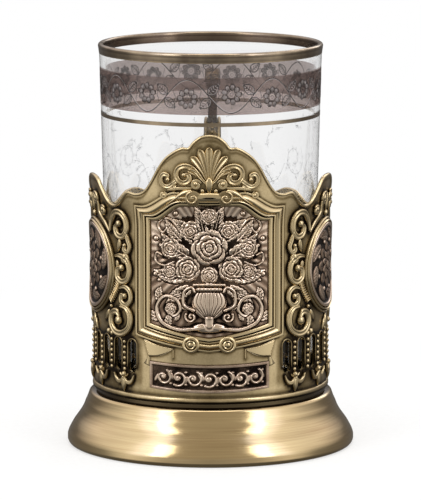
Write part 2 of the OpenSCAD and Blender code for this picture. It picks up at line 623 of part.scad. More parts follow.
module rivet_bore(z, side) facing(180) translate([0, z + side * pad_h * rivet_gap_share, shell_r / 2])
    cylinder(r = rivet_r, h = shell_r, $fn = curve_fn);
module strip(path, width, thick) rotate([90, 0, 90]) translate([0, 0, -width / 2]) linear_extrude(width)
    polygon(ribbon(path, thick));
module pad(z) intersection() {
    skin(0, pad_t);
    translate([-pad_w, 0, z - pad_h]) cube([2 * pad_w, far_r, 2 * pad_h]);
}
module handle() color(brass) difference() {
    union() {
        strip(handle_line(loop_shares, thumb_stretch), strap_w, strap_t);
        strip(handle_line(stem_shares, thumb_stretch), stem_w, strap_t * 0.6);
        strip(handle_line(curl_shares, thumb_stretch), strap_w * 0.9, strap_t * 0.5);
        for (z = pad_zs) pad(z);
    }
    rotate_extrude($fn = curve_fn) polygon(concat([[0, 0]], [for (z = concat([0], skin_steps)) [shell_at(z), z]],
                                                 [[0, top_z + over]]));
    for (z = pad_zs, side = [-1, 1]) rivet_bore(z, side);
}
rivet_head_r = 1.7 * rivet_r;
module handle_rivets() color(gold) for (z = pad_zs, side = [-1, 1])
    let(at = z + side * pad_h * rivet_gap_share, out = shell_at(at + rivet_head_r) + pad_t)
    facing(180) translate([0, at, 0]) {
        translate([0, 0, inner_r - head_t]) cylinder(r = rivet_r, h = out - inner_r + head_t, $fn = curve_fn);
        translate([0, 0, inner_r - head_t])
            cylinder(r = rivet_head_r, h = head_seat(rivet_head_r) - inner_r + head_t, $fn = curve_fn);
        translate([0, 0, out]) cylinder(r1 = rivet_head_r, r2 = rivet_r, h = rivet_r, $fn = curve_fn);
    }

// Glass: radii up its outer side, then the rounded lip and the inner side
glass_top = floor_z + glass_h;
lip_r = glass_wall / 2;
lip_steps = 8;
lip_z = glass_top - lip_r;
gilt_z = glass_top - gilt_h;
band_top = glass_top - band_drop;
glass_stations = [[floor_z, glass_foot_r], [band_top, glass_band_r],
                  [gilt_z, glass_band_r + (glass_lip_r - glass_band_r) * 0.35], [lip_z, glass_lip_r]];
function glass_r(z) = lookup(z, glass_stations);
function lip_arc(grow) = [for (i = [0:lip_steps]) let(a = 180 * i / lip_steps)
    [glass_r(lip_z) - lip_r + (lip_r + grow) * cos(a), lip_z + (lip_r + grow) * sin(a)]];
function side_up(z0, z1, grow) = [for (z = concat([z0], [for (s = glass_stations) if (s[0] > z0 && s[0] < z1) s[0]]))
    [glass_r(z) + grow, z]];
foot_round = 1.5;
hollow_r_share = 0.75;
hollow_h = 0.8;
module tumbler() color(clear) rotate_extrude($fn = curve_fn) polygon(concat(
    [[0, floor_z + hollow_h], [glass_foot_r * hollow_r_share, floor_z + hollow_h],
     [glass_foot_r * hollow_r_share + hollow_h, floor_z], [glass_foot_r - foot_round, floor_z],
     [glass_r(floor_z) - foot_round * 0.3, floor_z + foot_round * 0.3]],
    side_up(floor_z + foot_round, lip_z, 0), lip_arc(0), reversed(side_up(floor_z + 2 * glass_base, lip_z, -glass_wall)),
    [[glass_r(floor_z) - glass_wall - foot_round, floor_z + glass_base], [0, floor_z + glass_base]]));
module gilded_rim() color(gold) rotate_extrude($fn = curve_fn) polygon(concat(
    side_up(gilt_z, lip_z, coat), lip_arc(coat), reversed(side_up(gilt_z, lip_z, -glass_wall - coat)),
    side_up(gilt_z, lip_z, -glass_wall), reversed(lip_arc(0)), reversed(side_up(gilt_z, lip_z, 0))));
module coating(z0, z1) rotate_extrude($fn = curve_fn) polygon([[glass_r(z0), z0], [glass_r(z0) + coat, z0],
                                                              [glass_r(z1) + coat, z1], [glass_r(z1), z1]]);
band_low = band_top - band_h;
line_top = band_low - line_gap;
module lustre_band() color(lustre) coating(band_low, band_top);
module gold_line() color(gold) coating(line_top - line_h, line_top);

shell_wall();
rim_wire();
front_frame();
crest_palmette();
side_scrolls_left();
side_scrolls_right();
medallion_ring_left();
medallion_ring_right();
bead_columns();
fleurs();
foot_bead();
pedestal();
floor_disc();
centre_screw();
washer();
nut();
plaque();
plaque_rivets();
medallion_left();
medallion_right();
medallion_rivets();
nameplate();
nameplate_ribbon();
nameplate_rivets();
handle();
handle_rivets();
tumbler();
gilded_rim();
lustre_band();
gold_line();
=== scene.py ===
"""Looks of the tea glass holder and its glass: struck and spun brass, coppered plates, thin glass."""

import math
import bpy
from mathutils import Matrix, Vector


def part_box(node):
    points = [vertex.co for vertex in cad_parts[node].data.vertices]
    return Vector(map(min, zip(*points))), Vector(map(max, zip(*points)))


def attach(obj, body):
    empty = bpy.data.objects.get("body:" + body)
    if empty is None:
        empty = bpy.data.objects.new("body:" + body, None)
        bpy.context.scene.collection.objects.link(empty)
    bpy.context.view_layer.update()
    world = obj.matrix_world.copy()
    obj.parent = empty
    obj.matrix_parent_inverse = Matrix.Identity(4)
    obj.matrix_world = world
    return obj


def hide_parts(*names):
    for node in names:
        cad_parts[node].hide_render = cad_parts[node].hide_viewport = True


bl_info = {
    "name": "Tea Glass Holder",
    "version": (1, 0, 0),
    "blender": (4, 5, 0),
    "location": "View3D > Sidebar > Tea Holder",
    "description": "Builds the struck brass tea glass holder, its plates, its handle and its thin glass",
    "category": "Add Mesh",
}

from types import SimpleNamespace

import bpy
import numpy as np
from mathutils import Vector, kdtree

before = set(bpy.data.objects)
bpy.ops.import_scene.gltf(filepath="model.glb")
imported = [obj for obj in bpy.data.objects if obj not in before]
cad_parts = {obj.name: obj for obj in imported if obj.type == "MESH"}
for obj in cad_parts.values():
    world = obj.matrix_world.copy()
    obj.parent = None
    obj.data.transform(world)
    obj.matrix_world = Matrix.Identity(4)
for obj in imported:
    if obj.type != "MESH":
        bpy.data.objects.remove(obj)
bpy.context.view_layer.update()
MM = 0.001


def low(node, axis):
    """Lowest coordinate of a CAD node along an axis, in millimetres."""
    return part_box(node)[0][axis] / MM


def high(node, axis):
    """Highest coordinate of a CAD node along an axis, in millimetres."""
    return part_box(node)[1][axis] / MM


# Sizes read from the frame, in millimetres
SHELL_Z = low("shell_wall", 2)
FLOOR_Z = high("floor_disc", 2)
FOOT_R = high("pedestal", 0)
GLASS_TOP = high("tumbler", 2)
MEDAL_Z = (low("medallion_left", 2) + high("medallion_left", 2)) / 2
MEDAL_R = (high("medallion_left", 2) - low("medallion_left", 2)) / 2


def linear(text):
    """A colour in sRGB hex, as linear RGBA."""
    parts = [int(text[i : i + 2], 16) / 255 for i in (1, 3, 5)]
    return tuple(c / 12.92 if c <= 0.04045 else ((c + 0.055) / 1.055) ** 2.4 for c in parts) + (1.0,)


WHITE = linear("#FFFFFF")


def length_property(name, description, default, least, most):
    """A property for a length, with its default and limits given in millimetres."""
    return bpy.props.FloatProperty(
        name=name, description=description, default=default * MM, min=least * MM, max=most * MM,
        unit="LENGTH", subtype="DISTANCE",
    )


def colour_property(name, description, default):
    """A property for a colour, with its default given in sRGB hex."""
    return bpy.props.FloatVectorProperty(
        name=name, description=description, default=linear(default), size=4, min=0, max=1,
        subtype="COLOR",
    )


class HolderSizes(bpy.types.PropertyGroup):
    """Sizes of the holder"""

    shell_r: length_property("Shell radius", "Outer radius of the shell wall below its lean", 36.6, 30, 45)
    wall: length_property("Wall thickness", "Thickness of the shell's sheet brass", 0.9, 0.5, 1.5)
    flare: length_property("Lean of the top", "How far the wall's top leans out beyond its foot", 1, 0, 2)
    flare_start: length_property(
        "Start of the lean", "Height over the shell's foot where the lean begins", 54, 40, 60
    )
    flare_rise: length_property("Rise of the lean", "Height over which the wall leans out", 12, 5, 20)
    side_angle: bpy.props.FloatProperty(
        name="Angle to each medallion", description="Turn from the front plaque to a medallion's middle",
        default=math.radians(75.5), min=math.radians(60), max=math.radians(90),
        unit="ROTATION", subtype="ANGLE",
    )
    plaque_w: length_property("Plaque width", "Width of the front plaque round the shell", 37, 30, 40)
    frame_w: length_property("Frame width", "Width of the stepped moulding round the plaque", 5.8, 4, 7)
    frame_t: length_property("Frame height", "How far the moulding stands out from the wall", 1.5, 1, 2)
    cell: length_property("Relief cell", "Spacing of the mesh points that carry the relief", 0.14, 0.08, 1)


class HolderColours(bpy.types.PropertyGroup):
    """Colours of the finishes"""

    brass: colour_property("Struck brass", "Brass rubbed bright on the raised forms", "#D2BD93")
    brass_deep: colour_property("Toned brass", "Brass half way into the hollows", "#8E7B57")
    # This colour is also the colour of painted shade: on the pedestal's seat, the foot bead's lower half, the
    # saddle and the handle
    patina: colour_property("Patina", "Blackening left in the brass's hollows", "#241C15")
    spun: colour_property("Spun brass", "Lighter brush streaks of the pedestal", "#CFB88C")
    spun_deep: colour_property("Spun brass, toned", "Darker brush streaks of the pedestal", "#B89F76")
    copper: colour_property("Coppered relief", "Polished high relief of the plates", "#E8D2BA")
    copper_deep: colour_property("Coppered ground", "Open ground of the plates", "#8F7763")
    recess: colour_property("Blackened recess", "Deepest hollows of the plates", "#17110F")
    gilding: colour_property("Gilding", "Fired gold at its thickest", "#BBA98E")
    lustre: colour_property("Grey lustre", "Fired lustre at its palest", "#9C918E")
    etching: colour_property("Etched line", "Lines etched in the clear glass", "#85888A")


def sizes():
    """The holder's sizes in millimetres, and its angle in degrees."""
    group = bpy.context.scene.holder_sizes
    found = {name: getattr(group, name) / MM for name in group.__annotations__}
    found["side_angle"] = math.degrees(group.side_angle)
    return SimpleNamespace(**found)


def colours():
    """The finishes' colours, as linear RGBA."""
    group = bpy.context.scene.holder_colours
    return SimpleNamespace(**{name: tuple(getattr(group, name)) for name in group.__annotations__})


# Curves


def smoothstep(t):
    """0 up to 0, 1 from 1 on, and a soft rise between them."""
    t = np.clip(t, 0, 1)
    return t * t * (3 - 2 * t)


def bell(x, width):
    """1 where x is 0, and fading to nothing at about twice the width."""
    return np.exp(-((x / width) ** 2))


def ray(angle):
    """Unit direction of an angle in degrees from +u."""
    return np.array([math.cos(math.radians(angle)), math.sin(math.radians(angle))])


def spline(points, steps=8):
    """A smooth curve through points, with steps to each stretch."""
    p = np.asarray(points, float)
    before, after = p[[0]], p[[-1]]
    ends = np.vstack([before, p[:-2]]), p[:-1], p[1:], np.vstack([p[2:], after])
    a, b, c, d = (q[:, None, :] for q in ends)
    t = (np.arange(steps) / steps)[None, :, None]
    curve = (2 * b + (c - a) * t + (2 * a - 5 * b + 4 * c - d) * t**2 + (3 * b - a - 3 * c + d) * t**3) / 2
    return np.vstack([curve.reshape(-1, p.shape[1]), after])


def even(path, count):
    """The same curve with count points spaced evenly."""
    path = np.asarray(path, float)
    s = np.concatenate([[0], np.cumsum(np.linalg.norm(np.diff(path, axis=0), axis=1))])
    at = np.linspace(0, s[-1], count)
    return np.stack([np.interp(at, s, path[:, k]) for k in range(path.shape[1])], axis=1)


def bending(root, reach, angle, bend, count, power=1.0):
    """A path of even steps; its heading, in degrees from +u, turns by bend from root to tip."""
    a = np.radians(angle + bend * np.linspace(0, 1, count) ** power)
    steps = np.stack([np.cos(a[:-1]), np.sin(a[:-1])], axis=1) * reach / (count - 1)
    return np.asarray(root) + np.vstack([[[0, 0]], np.cumsum(steps, axis=0)])


def spiral(at, radius, turns, start, hand, inner=0.3, count=48):
    """A scroll's centre line: it starts at an angle in degrees and winds in."""
    t = np.linspace(0, 1, count)
    a = np.radians(start + hand * 360 * turns * t)
    r = radius * (1 - (1 - inner) * smoothstep(t) ** 0.9)
    return np.stack([at[0] + r * np.cos(a), at[1] + r * np.sin(a)], axis=1)


def oval(at, rx, rz, angle, count=20):
    """A closed oval round a place, with its half-widths and its turn in degrees."""
    a = np.linspace(0, 2 * np.pi, count)
    (c, s), x, y = ray(angle), rx * np.cos(a), rz * np.sin(a)
    return np.stack([at[0] + x * c - y * s, at[1] + x * s + y * c], axis=1)


def tapered(count, start=0.25, end=0.25, ends=0.3):
    """Shares of full width along a strand: thin at the start and end."""
    t = np.linspace(0, 1, count)
    return ends + (1 - ends) * smoothstep(t / max(start, 1e-6)) * smoothstep((1 - t) / max(end, 1e-6))


def normals_2d(path):
    """Unit normals of a path, on its left side."""
    d = np.gradient(path, axis=0)
    d /= np.maximum(np.linalg.norm(d, axis=1, keepdims=True), 1e-9)
    return np.stack([-d[:, 1], d[:, 0]], axis=1)


# The shell's own coordinates: u is the length round the shell from the front, z the height


def shell_at(z):
    """Outer radius of the shell wall at a height."""
    s = sizes()
    return s.shell_r + s.flare * smoothstep((z - SHELL_Z - s.flare_start) / s.flare_rise)


def on_shell(u, z, out):
    """Points of the frame from a length round the shell, a height and a distance out from the wall."""
    u, z, out = np.broadcast_arrays(np.asarray(u, float), z, out)
    r, a = shell_at(z) + out, u / sizes().shell_r
    return np.stack([r * np.sin(a), -r * np.cos(a), z], axis=-1)


def around(angle):
    """Length round the shell of an angle in degrees."""
    return math.radians(angle) * sizes().shell_r


def folded(u):
    """A length round the shell brought to between half a turn left and half a turn right."""
    turn = around(180)
    return (u + turn) % (2 * turn) - turn


# Crest, as in the construction: angle to the valley beside the front, heights of the valley and the front's
# top over the shell's foot, rise of the side crest and depth of the dip at the back, and its bead's section
FRONT_END, VALLEY_H, CREST_H, SIDE_CREST_H, BACK_DIP = 54.0, 60.1, 83.5, 7.9, 6.2
RIM_H, RIM_OUT = 1.0, 0.45
# Shares of the crest's stretches: along the stretch, and of its rise or dip
FRONT_SHARES = [
    [0, 1], [0.075, 0.98], [0.143, 0.905], [0.185, 0.83], [0.235, 0.83], [0.3, 0.79], [0.39, 0.69],
    [0.46, 0.555], [0.53, 0.37], [0.6, 0.235], [0.68, 0.19], [0.77, 0.205], [0.82, 0.165], [0.89, 0.06],
    [0.95, 0.005], [1, 0],
]
SIDE_SHARES = [[0, 0], [0.16, 0.13], [0.36, 0.48], [0.6, 0.86], [0.8, 0.98], [1, 1]]
BACK_SHARES = [
    [0, 0], [0.14, 0.62], [0.22, 0.72], [0.3, 0.55], [0.38, 0.28], [0.48, 0.22], [0.56, 0.45],
    [0.66, 0.85], [0.8, 1], [1, 1],
]


def half_crest(steps=10):
    """The crest's edge from the front to the back: [length round the shell, height]."""
    side, valley = sizes().side_angle, SHELL_Z + VALLEY_H
    front, half, back = (spline(shares, steps) for shares in (FRONT_SHARES, SIDE_SHARES, BACK_SHARES))
    end = 2 * side - FRONT_END
    front = np.stack([front[:, 0] * FRONT_END, valley + front[:, 1] * (CREST_H - VALLEY_H)], axis=1)
    half = np.stack([FRONT_END + half[:, 0] * (side - FRONT_END), valley + half[:, 1] * SIDE_CREST_H], axis=1)
    mirror = np.stack([2 * side - half[::-1, 0], half[::-1, 1]], axis=1)
    back = np.stack([end + back[:, 0] * (180 - end), valley - back[:, 1] * BACK_DIP], axis=1)
    line = np.vstack([front, half[1:], mirror[1:], back[1:]])
    return np.stack([np.radians(line[:, 0]) * sizes().shell_r, line[:, 1]], axis=1)


def crest_z(u, drop=0.0):
    """Height of the crest's edge, or of a line drop millimetres inside it."""
    path = half_crest()
    path = path - drop * normals_2d(path)
    return np.interp(np.abs(folded(np.asarray(u))), path[:, 0], path[:, 1])


# Outlines shared by the plaque and its frame, as in the construction: the arch on the upper edge rises
# between two shares of the half-width, the lower edge drops to its middle, and the frame grows less up and
# down than it does sideways
PLAQUE_STEPS, ARCH_FLAT, ARCH_TOP, FRAME_Z_SHARE = 40, 0.9, 0.42, 0.75
PLAQUE_ARCH, PLAQUE_DROP = 4.9, 4.1
PLAQUE_Z = SHELL_Z + 24.8
PLAQUE_SHOULDER_Z = PLAQUE_Z + 31.8


def plaque_top(x, grow=0.0):
    """Height of the upper edge at a share of the half-width."""
    arch = PLAQUE_ARCH * smoothstep((ARCH_FLAT - np.abs(x)) / (ARCH_FLAT - ARCH_TOP))
    return PLAQUE_SHOULDER_Z + grow * FRAME_Z_SHARE + arch


def plaque_bottom(x, grow=0.0):
    """Height of the lower edge at a share of the half-width."""
    x = np.abs(x)
    return PLAQUE_Z - grow * FRAME_Z_SHARE - PLAQUE_DROP * (1 - x) * (1 + 0.35 * x)


def plaque_outline(grow, side_steps=12):
    """The closed outline, anticlockwise from the lower left corner, grown outward by some millimetres."""
    half = sizes().plaque_w / 2 + grow
    x = np.linspace(-1, 1, 2 * PLAQUE_STEPS + 1)
    lower = np.stack([half * x, plaque_bottom(x, grow)], axis=1)
    upper = np.stack([half * x[::-1], plaque_top(x[::-1], grow)], axis=1)
    t = np.linspace(0, 1, side_steps + 2)[1:-1, None]
    right = lower[-1] + t * (upper[0] - lower[-1])
    left = upper[-1] + t * (lower[0] - upper[-1])
    return np.vstack([lower, right, upper, left])


# Mesh making


class Shape:
    """Points, faces and a tone per point, gathered from several parts."""

    def __init__(self):
        self.points, self.faces, self.tones, self.count = [], [], [], 0

    def add(self, points, faces, tone=1.0):
        points = np.asarray(points, float).reshape(-1, 3)
        self.points.append(points)
        self.tones.append(np.broadcast_to(np.asarray(tone, float).reshape(-1), (len(points),)).copy())
        self.faces += [np.asarray(f) + self.count for f in faces]
        self.count += len(points)
        return self

    def object(self, name, sharp=None):
        """The shape as a smooth object; edges that turn by more than sharp degrees stay crisp."""
        points = np.vstack(self.points) * MM
        loops = np.concatenate([f.reshape(-1) for f in self.faces])
        lengths = np.concatenate([np.full(len(f), f.shape[1]) for f in self.faces])
        mesh = bpy.data.meshes.new(name)
        mesh.vertices.add(len(points))
        mesh.vertices.foreach_set("co", points.reshape(-1))
        mesh.loops.add(len(loops))
        mesh.loops.foreach_set("vertex_index", loops)
        mesh.polygons.add(len(lengths))
        mesh.polygons.foreach_set("loop_start", np.concatenate([[0], np.cumsum(lengths)[:-1]]))
        mesh.polygons.foreach_set("use_smooth", np.ones(len(lengths), bool))
        mesh.update(calc_edges=True)
        mesh.validate()
        patina = mesh.attributes.new("patina", "FLOAT", "POINT")
        patina.data.foreach_set("value", 1 - np.concatenate(self.tones))
        if sharp:
            mesh.set_sharp_from_angle(angle=math.radians(sharp))
        made = bpy.data.objects.new(name, mesh)
        bpy.context.scene.collection.objects.link(made)
        return made


# Raised forms on the wall, as (u, z, half-width)
raised = []


def mark(u, z, reach):
    """Notes a raised form on the wall, so that patina can be left round it."""
    u, z, reach = np.broadcast_arrays(np.asarray(u, float), z, reach)
    raised.extend(zip(u.reshape(-1), z.reshape(-1), reach.reshape(-1)))


def quads(rows, columns, wrap=False, tube=False):
    """Faces of a grid of points; wrap joins its last column to the first, tube also its last row."""
    places = np.arange(rows if tube else rows - 1), np.arange(columns if wrap else columns - 1)
    r, c = np.meshgrid(*places, indexing="ij")
    here, above = r * columns, (r + 1) % rows * columns
    n = (c + 1) % columns
    return np.stack([here + c, here + n, above + n, above + c], -1).reshape(-1, 4)


def capped(rows, columns):
    """Faces of a tube of rings, closed at its last ring and at its first."""
    ring = np.arange(columns)
    return [quads(rows, columns, wrap=True), (ring + (rows - 1) * columns)[None], ring[::-1][None]]


def lathe(profile, segments=256, tone=1.0):
    """A closed turned shape from its outline of [radius, height], anticlockwise."""
    profile = np.asarray(profile, float)
    a = np.linspace(0, 2 * np.pi, segments, endpoint=False)
    r, z = profile[:, :1], profile[:, 1:]
    points = np.stack([r * np.sin(a), -r * np.cos(a), z + 0 * a], axis=-1)
    tones = np.broadcast_to(np.reshape(tone, (-1, 1)), points.shape[:2])
    return Shape().add(points, [quads(len(profile), segments, wrap=True, tube=True)], tones)


# Raised forms start this far under the wall's face
ROOT = -0.08


def strand(shape, path, width, height, sides=9, groove=0.0, base=ROOT, low_tone=0.1):
    """A half-round strand along a path on the shell; width and height may vary along it."""
    path = np.asarray(path, float)
    n = len(path)
    width, height = np.broadcast_to(width, n), np.broadcast_to(height, n)
    mark(path[:, 0], path[:, 1], width / 2)
    a = np.linspace(0, np.pi, sides)
    across = np.cos(a)[None, :] * width[:, None] / 2
    crown = np.sin(a) ** 0.8 * (1 - groove * bell(a - np.pi / 2, 0.38))
    out = base + (height[:, None] - base) * crown[None, :]
    flat = path[:, None, :] + across[:, :, None] * normals_2d(path)[:, None, :]
    tone = low_tone + (1 - low_tone) * np.clip(crown, 0, 1) ** 0.7 * np.ones((n, 1))
    shape.add(on_shell(flat[..., 0], flat[..., 1], out), capped(n, sides), tone)


def turned(shape, at, profile, segments=40, tones=None):
    """A round boss or ring standing on the shell at [u, z], from its profile of [radius, distance out]."""
    profile = np.asarray(profile, float)
    mark(at[0], at[1], profile[:, 0].max())
    a = np.linspace(0, 2 * np.pi, segments, endpoint=False)
    r, out = profile[:, :1], profile[:, 1:]
    if tones is None:
        tones = 0.1 + 0.9 * np.clip(out / out.max(), 0, 1)
    points = on_shell(at[0] + r * np.cos(a), at[1] + r * np.sin(a), out)
    tones = np.broadcast_to(np.reshape(tones, (-1, 1)), points.shape[:2])
    shape.add(points, capped(len(profile), segments), tones)


def dome(shape, at, radius, height, segments=20, base=ROOT):
    """A round bead on the shell."""
    a = np.linspace(0, np.pi / 2, 7)[:-1]
    turned(shape, at, np.stack([radius * np.cos(a), base + (height - base) * np.sin(a)], axis=1), segments)


def scroll(shape, at, radius, turns, start, hand, width, height, groove):
    """A strand that winds in to a dome at its eye."""
    path = spiral(at, radius - width / 2, turns, start, hand)
    strand(shape, path, width * tapered(len(path), 0.2, 0.01, 0.45), height, groove=groove)
    dome(shape, path[-1], width * 0.8, height * 1.15)


def leaf(shape, at, reach, width, angle, height, bend=0.0, groove=0.3):
    """A drop-shaped leaf from its root, angle in degrees from straight up towards +u."""
    t = np.linspace(0, 1, 18)
    body = np.clip(np.sin(np.pi * t**0.75), 0, 1) ** 0.8
    wide = width * np.maximum(body, 0.15 * (1 - t) + 0.05)
    path = bending(at, reach, 90 - angle, -bend, len(t))
    strand(shape, path, wide, height * np.maximum(body, 0.2) ** 0.5, groove=groove, sides=11)


def mirrored(origin, side, points):
    """Places counted from an origin: away towards a side, and up."""
    return np.asarray(origin, float) + np.asarray(points, float) * [side, 1]


def ornaments(shape, origin, side, group):
    """One half of a mirrored group of ornaments, whose places are away from an origin, and up."""
    for points, width, height, groove, facets, eye in group.strands:
        path = spline(mirrored(origin, side, points))
        strand(shape, path, width * tapered(len(path), *group.ends), height, groove=groove, sides=facets)
        if eye:
            dome(shape, path[-1], *eye)
    for place, radius, turns, start, hand, width, height, groove in group.scrolls:
        start = start if side > 0 else 180 - start
        at = mirrored(origin, side, place)
        scroll(shape, at, radius, turns, start, -side * hand, width, height, groove)
    for place, reach, width, angle, height, bend in group.leaves:
        leaf(shape, mirrored(origin, side, place), reach, width, side * angle, height, side * bend)
    for place, radius, height in group.domes:
        dome(shape, mirrored(origin, side, place), radius, height)


def plate(shape, u, z, out, back, tone):
    """A closed plate on the shell from a grid of u and z: its front's distance out, and a plain back."""
    rows, columns = u.shape
    shape.add(on_shell(u, z, out), [quads(rows, columns)], tone)
    first, last = -rows * columns, -columns
    j = np.arange(columns - 1)
    up = j + columns
    edges = (j, up, up + 1, j + 1), (first + j, j, j + 1, first + j + 1), (last + j, last + j + 1, up + 1, up)
    faces = [np.stack(edge, axis=1) for edge in edges]
    side = first + np.arange(rows) * columns
    faces.append(np.concatenate([side, [columns, 0]])[None])
    faces.append(np.concatenate([side[::-1] + columns - 1, [columns - 1, 2 * columns - 1]])[None])
    shape.add(on_shell(u[[0, -1]], z[[0, -1]], back), faces, 0.1)


# Reliefs: heights drawn over a plate's own points


class Relief:
    """A height over each point of a plate, with strokes, drops and hollows drawn on it."""

    def __init__(self, u, z):
        self.u, self.z = u, z
        self.h = np.zeros(u.shape)

    def near(self, path, pad):
        """The points within a margin of a path's box."""
        lo, hi = path.min(axis=0) - pad, path.max(axis=0) + pad
        return np.where((self.u > lo[0]) & (self.u < hi[0]) & (self.z > lo[1]) & (self.z < hi[1]))

    def distance(self, path, widths, at):
        """Least distance to the path as a share of its half-width there, and the share along it."""
        p = np.stack([self.u[at], self.z[at]], axis=-1)
        best, where = np.full(len(p), 9.0), np.zeros(len(p))
        for i in range(len(path) - 1):
            a, d = path[i], path[i + 1] - path[i]
            t = np.clip(((p - a) @ d) / max(d @ d, 1e-9), 0, 1)
            w = (widths[i] + (widths[i + 1] - widths[i]) * t) / 2
            q = np.linalg.norm(p - a - t[:, None] * d, axis=1) / np.maximum(w, 1e-3)
            closer = q < best
            best = np.where(closer, q, best)
            where = np.where(closer, (i + t) / (len(path) - 1), where)
        return best, where

    def stroke(self, path, width, height, base=0.0, dig=True):
        """A rounded ridge along a path; dig hollows the ground beside it."""
        path = np.asarray(path, float)
        widths = np.broadcast_to(width, len(path)).astype(float)
        at = self.near(path, widths.max() * 1.2 + 0.3)
        q, along = self.distance(path, widths, at)
        h = self.h[at] - dig * bell(q - 1.15, 0.32) * 0.22 * (q > 0.9)
        share = np.interp(along, np.linspace(0, 1, len(path)), np.clip(widths / widths.max(), 0.3, 1))
        ridge = height * share**0.5 * np.clip(1 - q**2, 0, 1) ** 0.5
        self.h[at] = np.where(q < 1, np.maximum(h, base + ridge), h)

    def drop(self, centre, rx, rz, angle, height, rim=0.0, dig=True, flat=0.5):
        """An oval dome; rim raises its edge and hollows its middle."""
        centre = np.asarray(centre, float)
        at = self.near(centre[None], max(rx, rz) * 1.3 + 0.2)
        (c, s), du, dz = ray(angle), self.u[at] - centre[0], self.z[at] - centre[1]
        q = np.hypot((du * c + dz * s) / rx, (dz * c - du * s) / rz)
        h = self.h[at] - dig * bell(q - 1.12, 0.2) * 0.2 * (q > 0.95)
        top = height * np.clip(1 - q**2, 0, 1) ** flat - rim * np.clip(1 - (q / 0.75) ** 2, 0, 1)
        self.h[at] = np.where(q < 1, np.maximum(h, top), h)

    def line(self, path, width, depth):
        """An engraved line."""
        path = np.asarray(path, float)
        at = self.near(path, width * 2)
        q, _ = self.distance(path, np.full(len(path), width), at)
        self.h[at] -= depth * bell(q, 0.8)

    def cavity(self, reach):
        """Tone from the form: low in hollows, high on ridges."""
        out = self.h.copy()
        k = bell(np.arange(-2 * reach, 2 * reach + 1), reach)
        k /= k.sum()
        for axis in (0, 1):
            margins = [(2 * reach, 2 * reach) if i == axis else (0, 0) for i in (0, 1)]
            padded = np.pad(out, margins, "edge")
            out = np.apply_along_axis(np.convolve, axis, padded, k, "valid")
        return self.h - out


# Materials


def add(tree, kind, inputs=None, **settings):
    """One node with its settings, and its inputs as values or as sockets to link."""
    made = tree.nodes.new(kind)
    for key, value in settings.items():
        setattr(made, key, value)
    for key, value in (inputs or {}).items():
        if isinstance(value, bpy.types.NodeSocket):
            tree.links.new(value, made.inputs[key])
        else:
            made.inputs[key].default_value = value
    return made


def ramp_stops(made, *stops):
    """Gives a colour ramp its stops of (place, colour), and returns the colour it makes."""
    elements = made.color_ramp.elements
    while len(elements) < len(stops):
        elements.new(0.5)
    for element, (place, shade) in zip(elements, stops):
        element.position = place
        element.color = shade
    return made.outputs["Color"]


def new_material(name):
    """A material with an empty tree, the tree, and its coordinates on the object."""
    made = bpy.data.materials.new(name)
    made.use_nodes = True
    tree = made.node_tree
    tree.nodes.clear()
    return made, tree, add(tree, "ShaderNodeTexCoord").outputs["Object"]


def aged_metal(name, bright, toned, dark, roughness, grain_mm=0.5):
    """Metal whose hollows were blackened and whose high places were rubbed bright again.
    The attribute read here says how deep and closed in each point is; on some pieces it also carries painted
    shade and painted highlight."""
    material, tree, place = new_material(name)
    patina = add(tree, "ShaderNodeAttribute", attribute_name="patina", attribute_type="GEOMETRY")
    total = add(tree, "ShaderNodeMath", {0: 1.0, 1: patina.outputs["Fac"]}, operation="SUBTRACT")
    # Cloudy toning a few millimetres across, and a fine cast grain
    cloud = add(tree, "ShaderNodeTexNoise", {"Vector": place, "Scale": 1 / (6 * MM), "Detail": 4.0})
    fine = add(tree, "ShaderNodeTexNoise", {"Vector": place, "Scale": 1 / (grain_mm * MM), "Detail": 3.0})
    for noise, strength in ((cloud, 0.45), (fine, 0.25)):
        spread = add(tree, "ShaderNodeMath", {0: noise.outputs["Fac"], 1: 0.5}, operation="SUBTRACT")
        spread = add(tree, "ShaderNodeMath", {0: spread.outputs[0], 1: strength}, operation="MULTIPLY")
        total = add(tree, "ShaderNodeMath", {0: total.outputs[0], 1: spread.outputs[0]}, operation="ADD")
    ramp = add(tree, "ShaderNodeValToRGB", {"Fac": total.outputs[0]})
    mix = ramp_stops(ramp, (0.02, dark), (0.385, toned), (0.75, bright))
    rough = add(tree, "ShaderNodeMapRange", {
        "Value": total.outputs[0], "To Min": roughness + 0.22, "To Max": roughness})
    bump = add(tree, "ShaderNodeBump", {
        "Height": fine.outputs["Fac"], "Strength": 0.25, "Distance": 0.03 * MM})
    shader = add(tree, "ShaderNodeBsdfPrincipled", {
        "Base Color": mix, "Metallic": 1.0, "Roughness": rough.outputs[0], "Normal": bump.outputs[0]})
    add(tree, "ShaderNodeOutputMaterial", {"Surface": shader.outputs[0]})
    return material


def struck_brass():
    """Sheet brass struck in a die, blackened and rubbed back: warm, satin, dark in every corner."""
    c = colours()
    return aged_metal("struck patinated brass", c.brass, c.brass_deep, c.patina, 0.22)


def coppered_plate():
    """Die-struck plate with a copper flash, blackened and polished on its high relief: pinkish and bright."""
    c = colours()
    return aged_metal("coppered struck plate", c.copper, c.copper_deep, c.recess, 0.19, grain_mm=0.35)


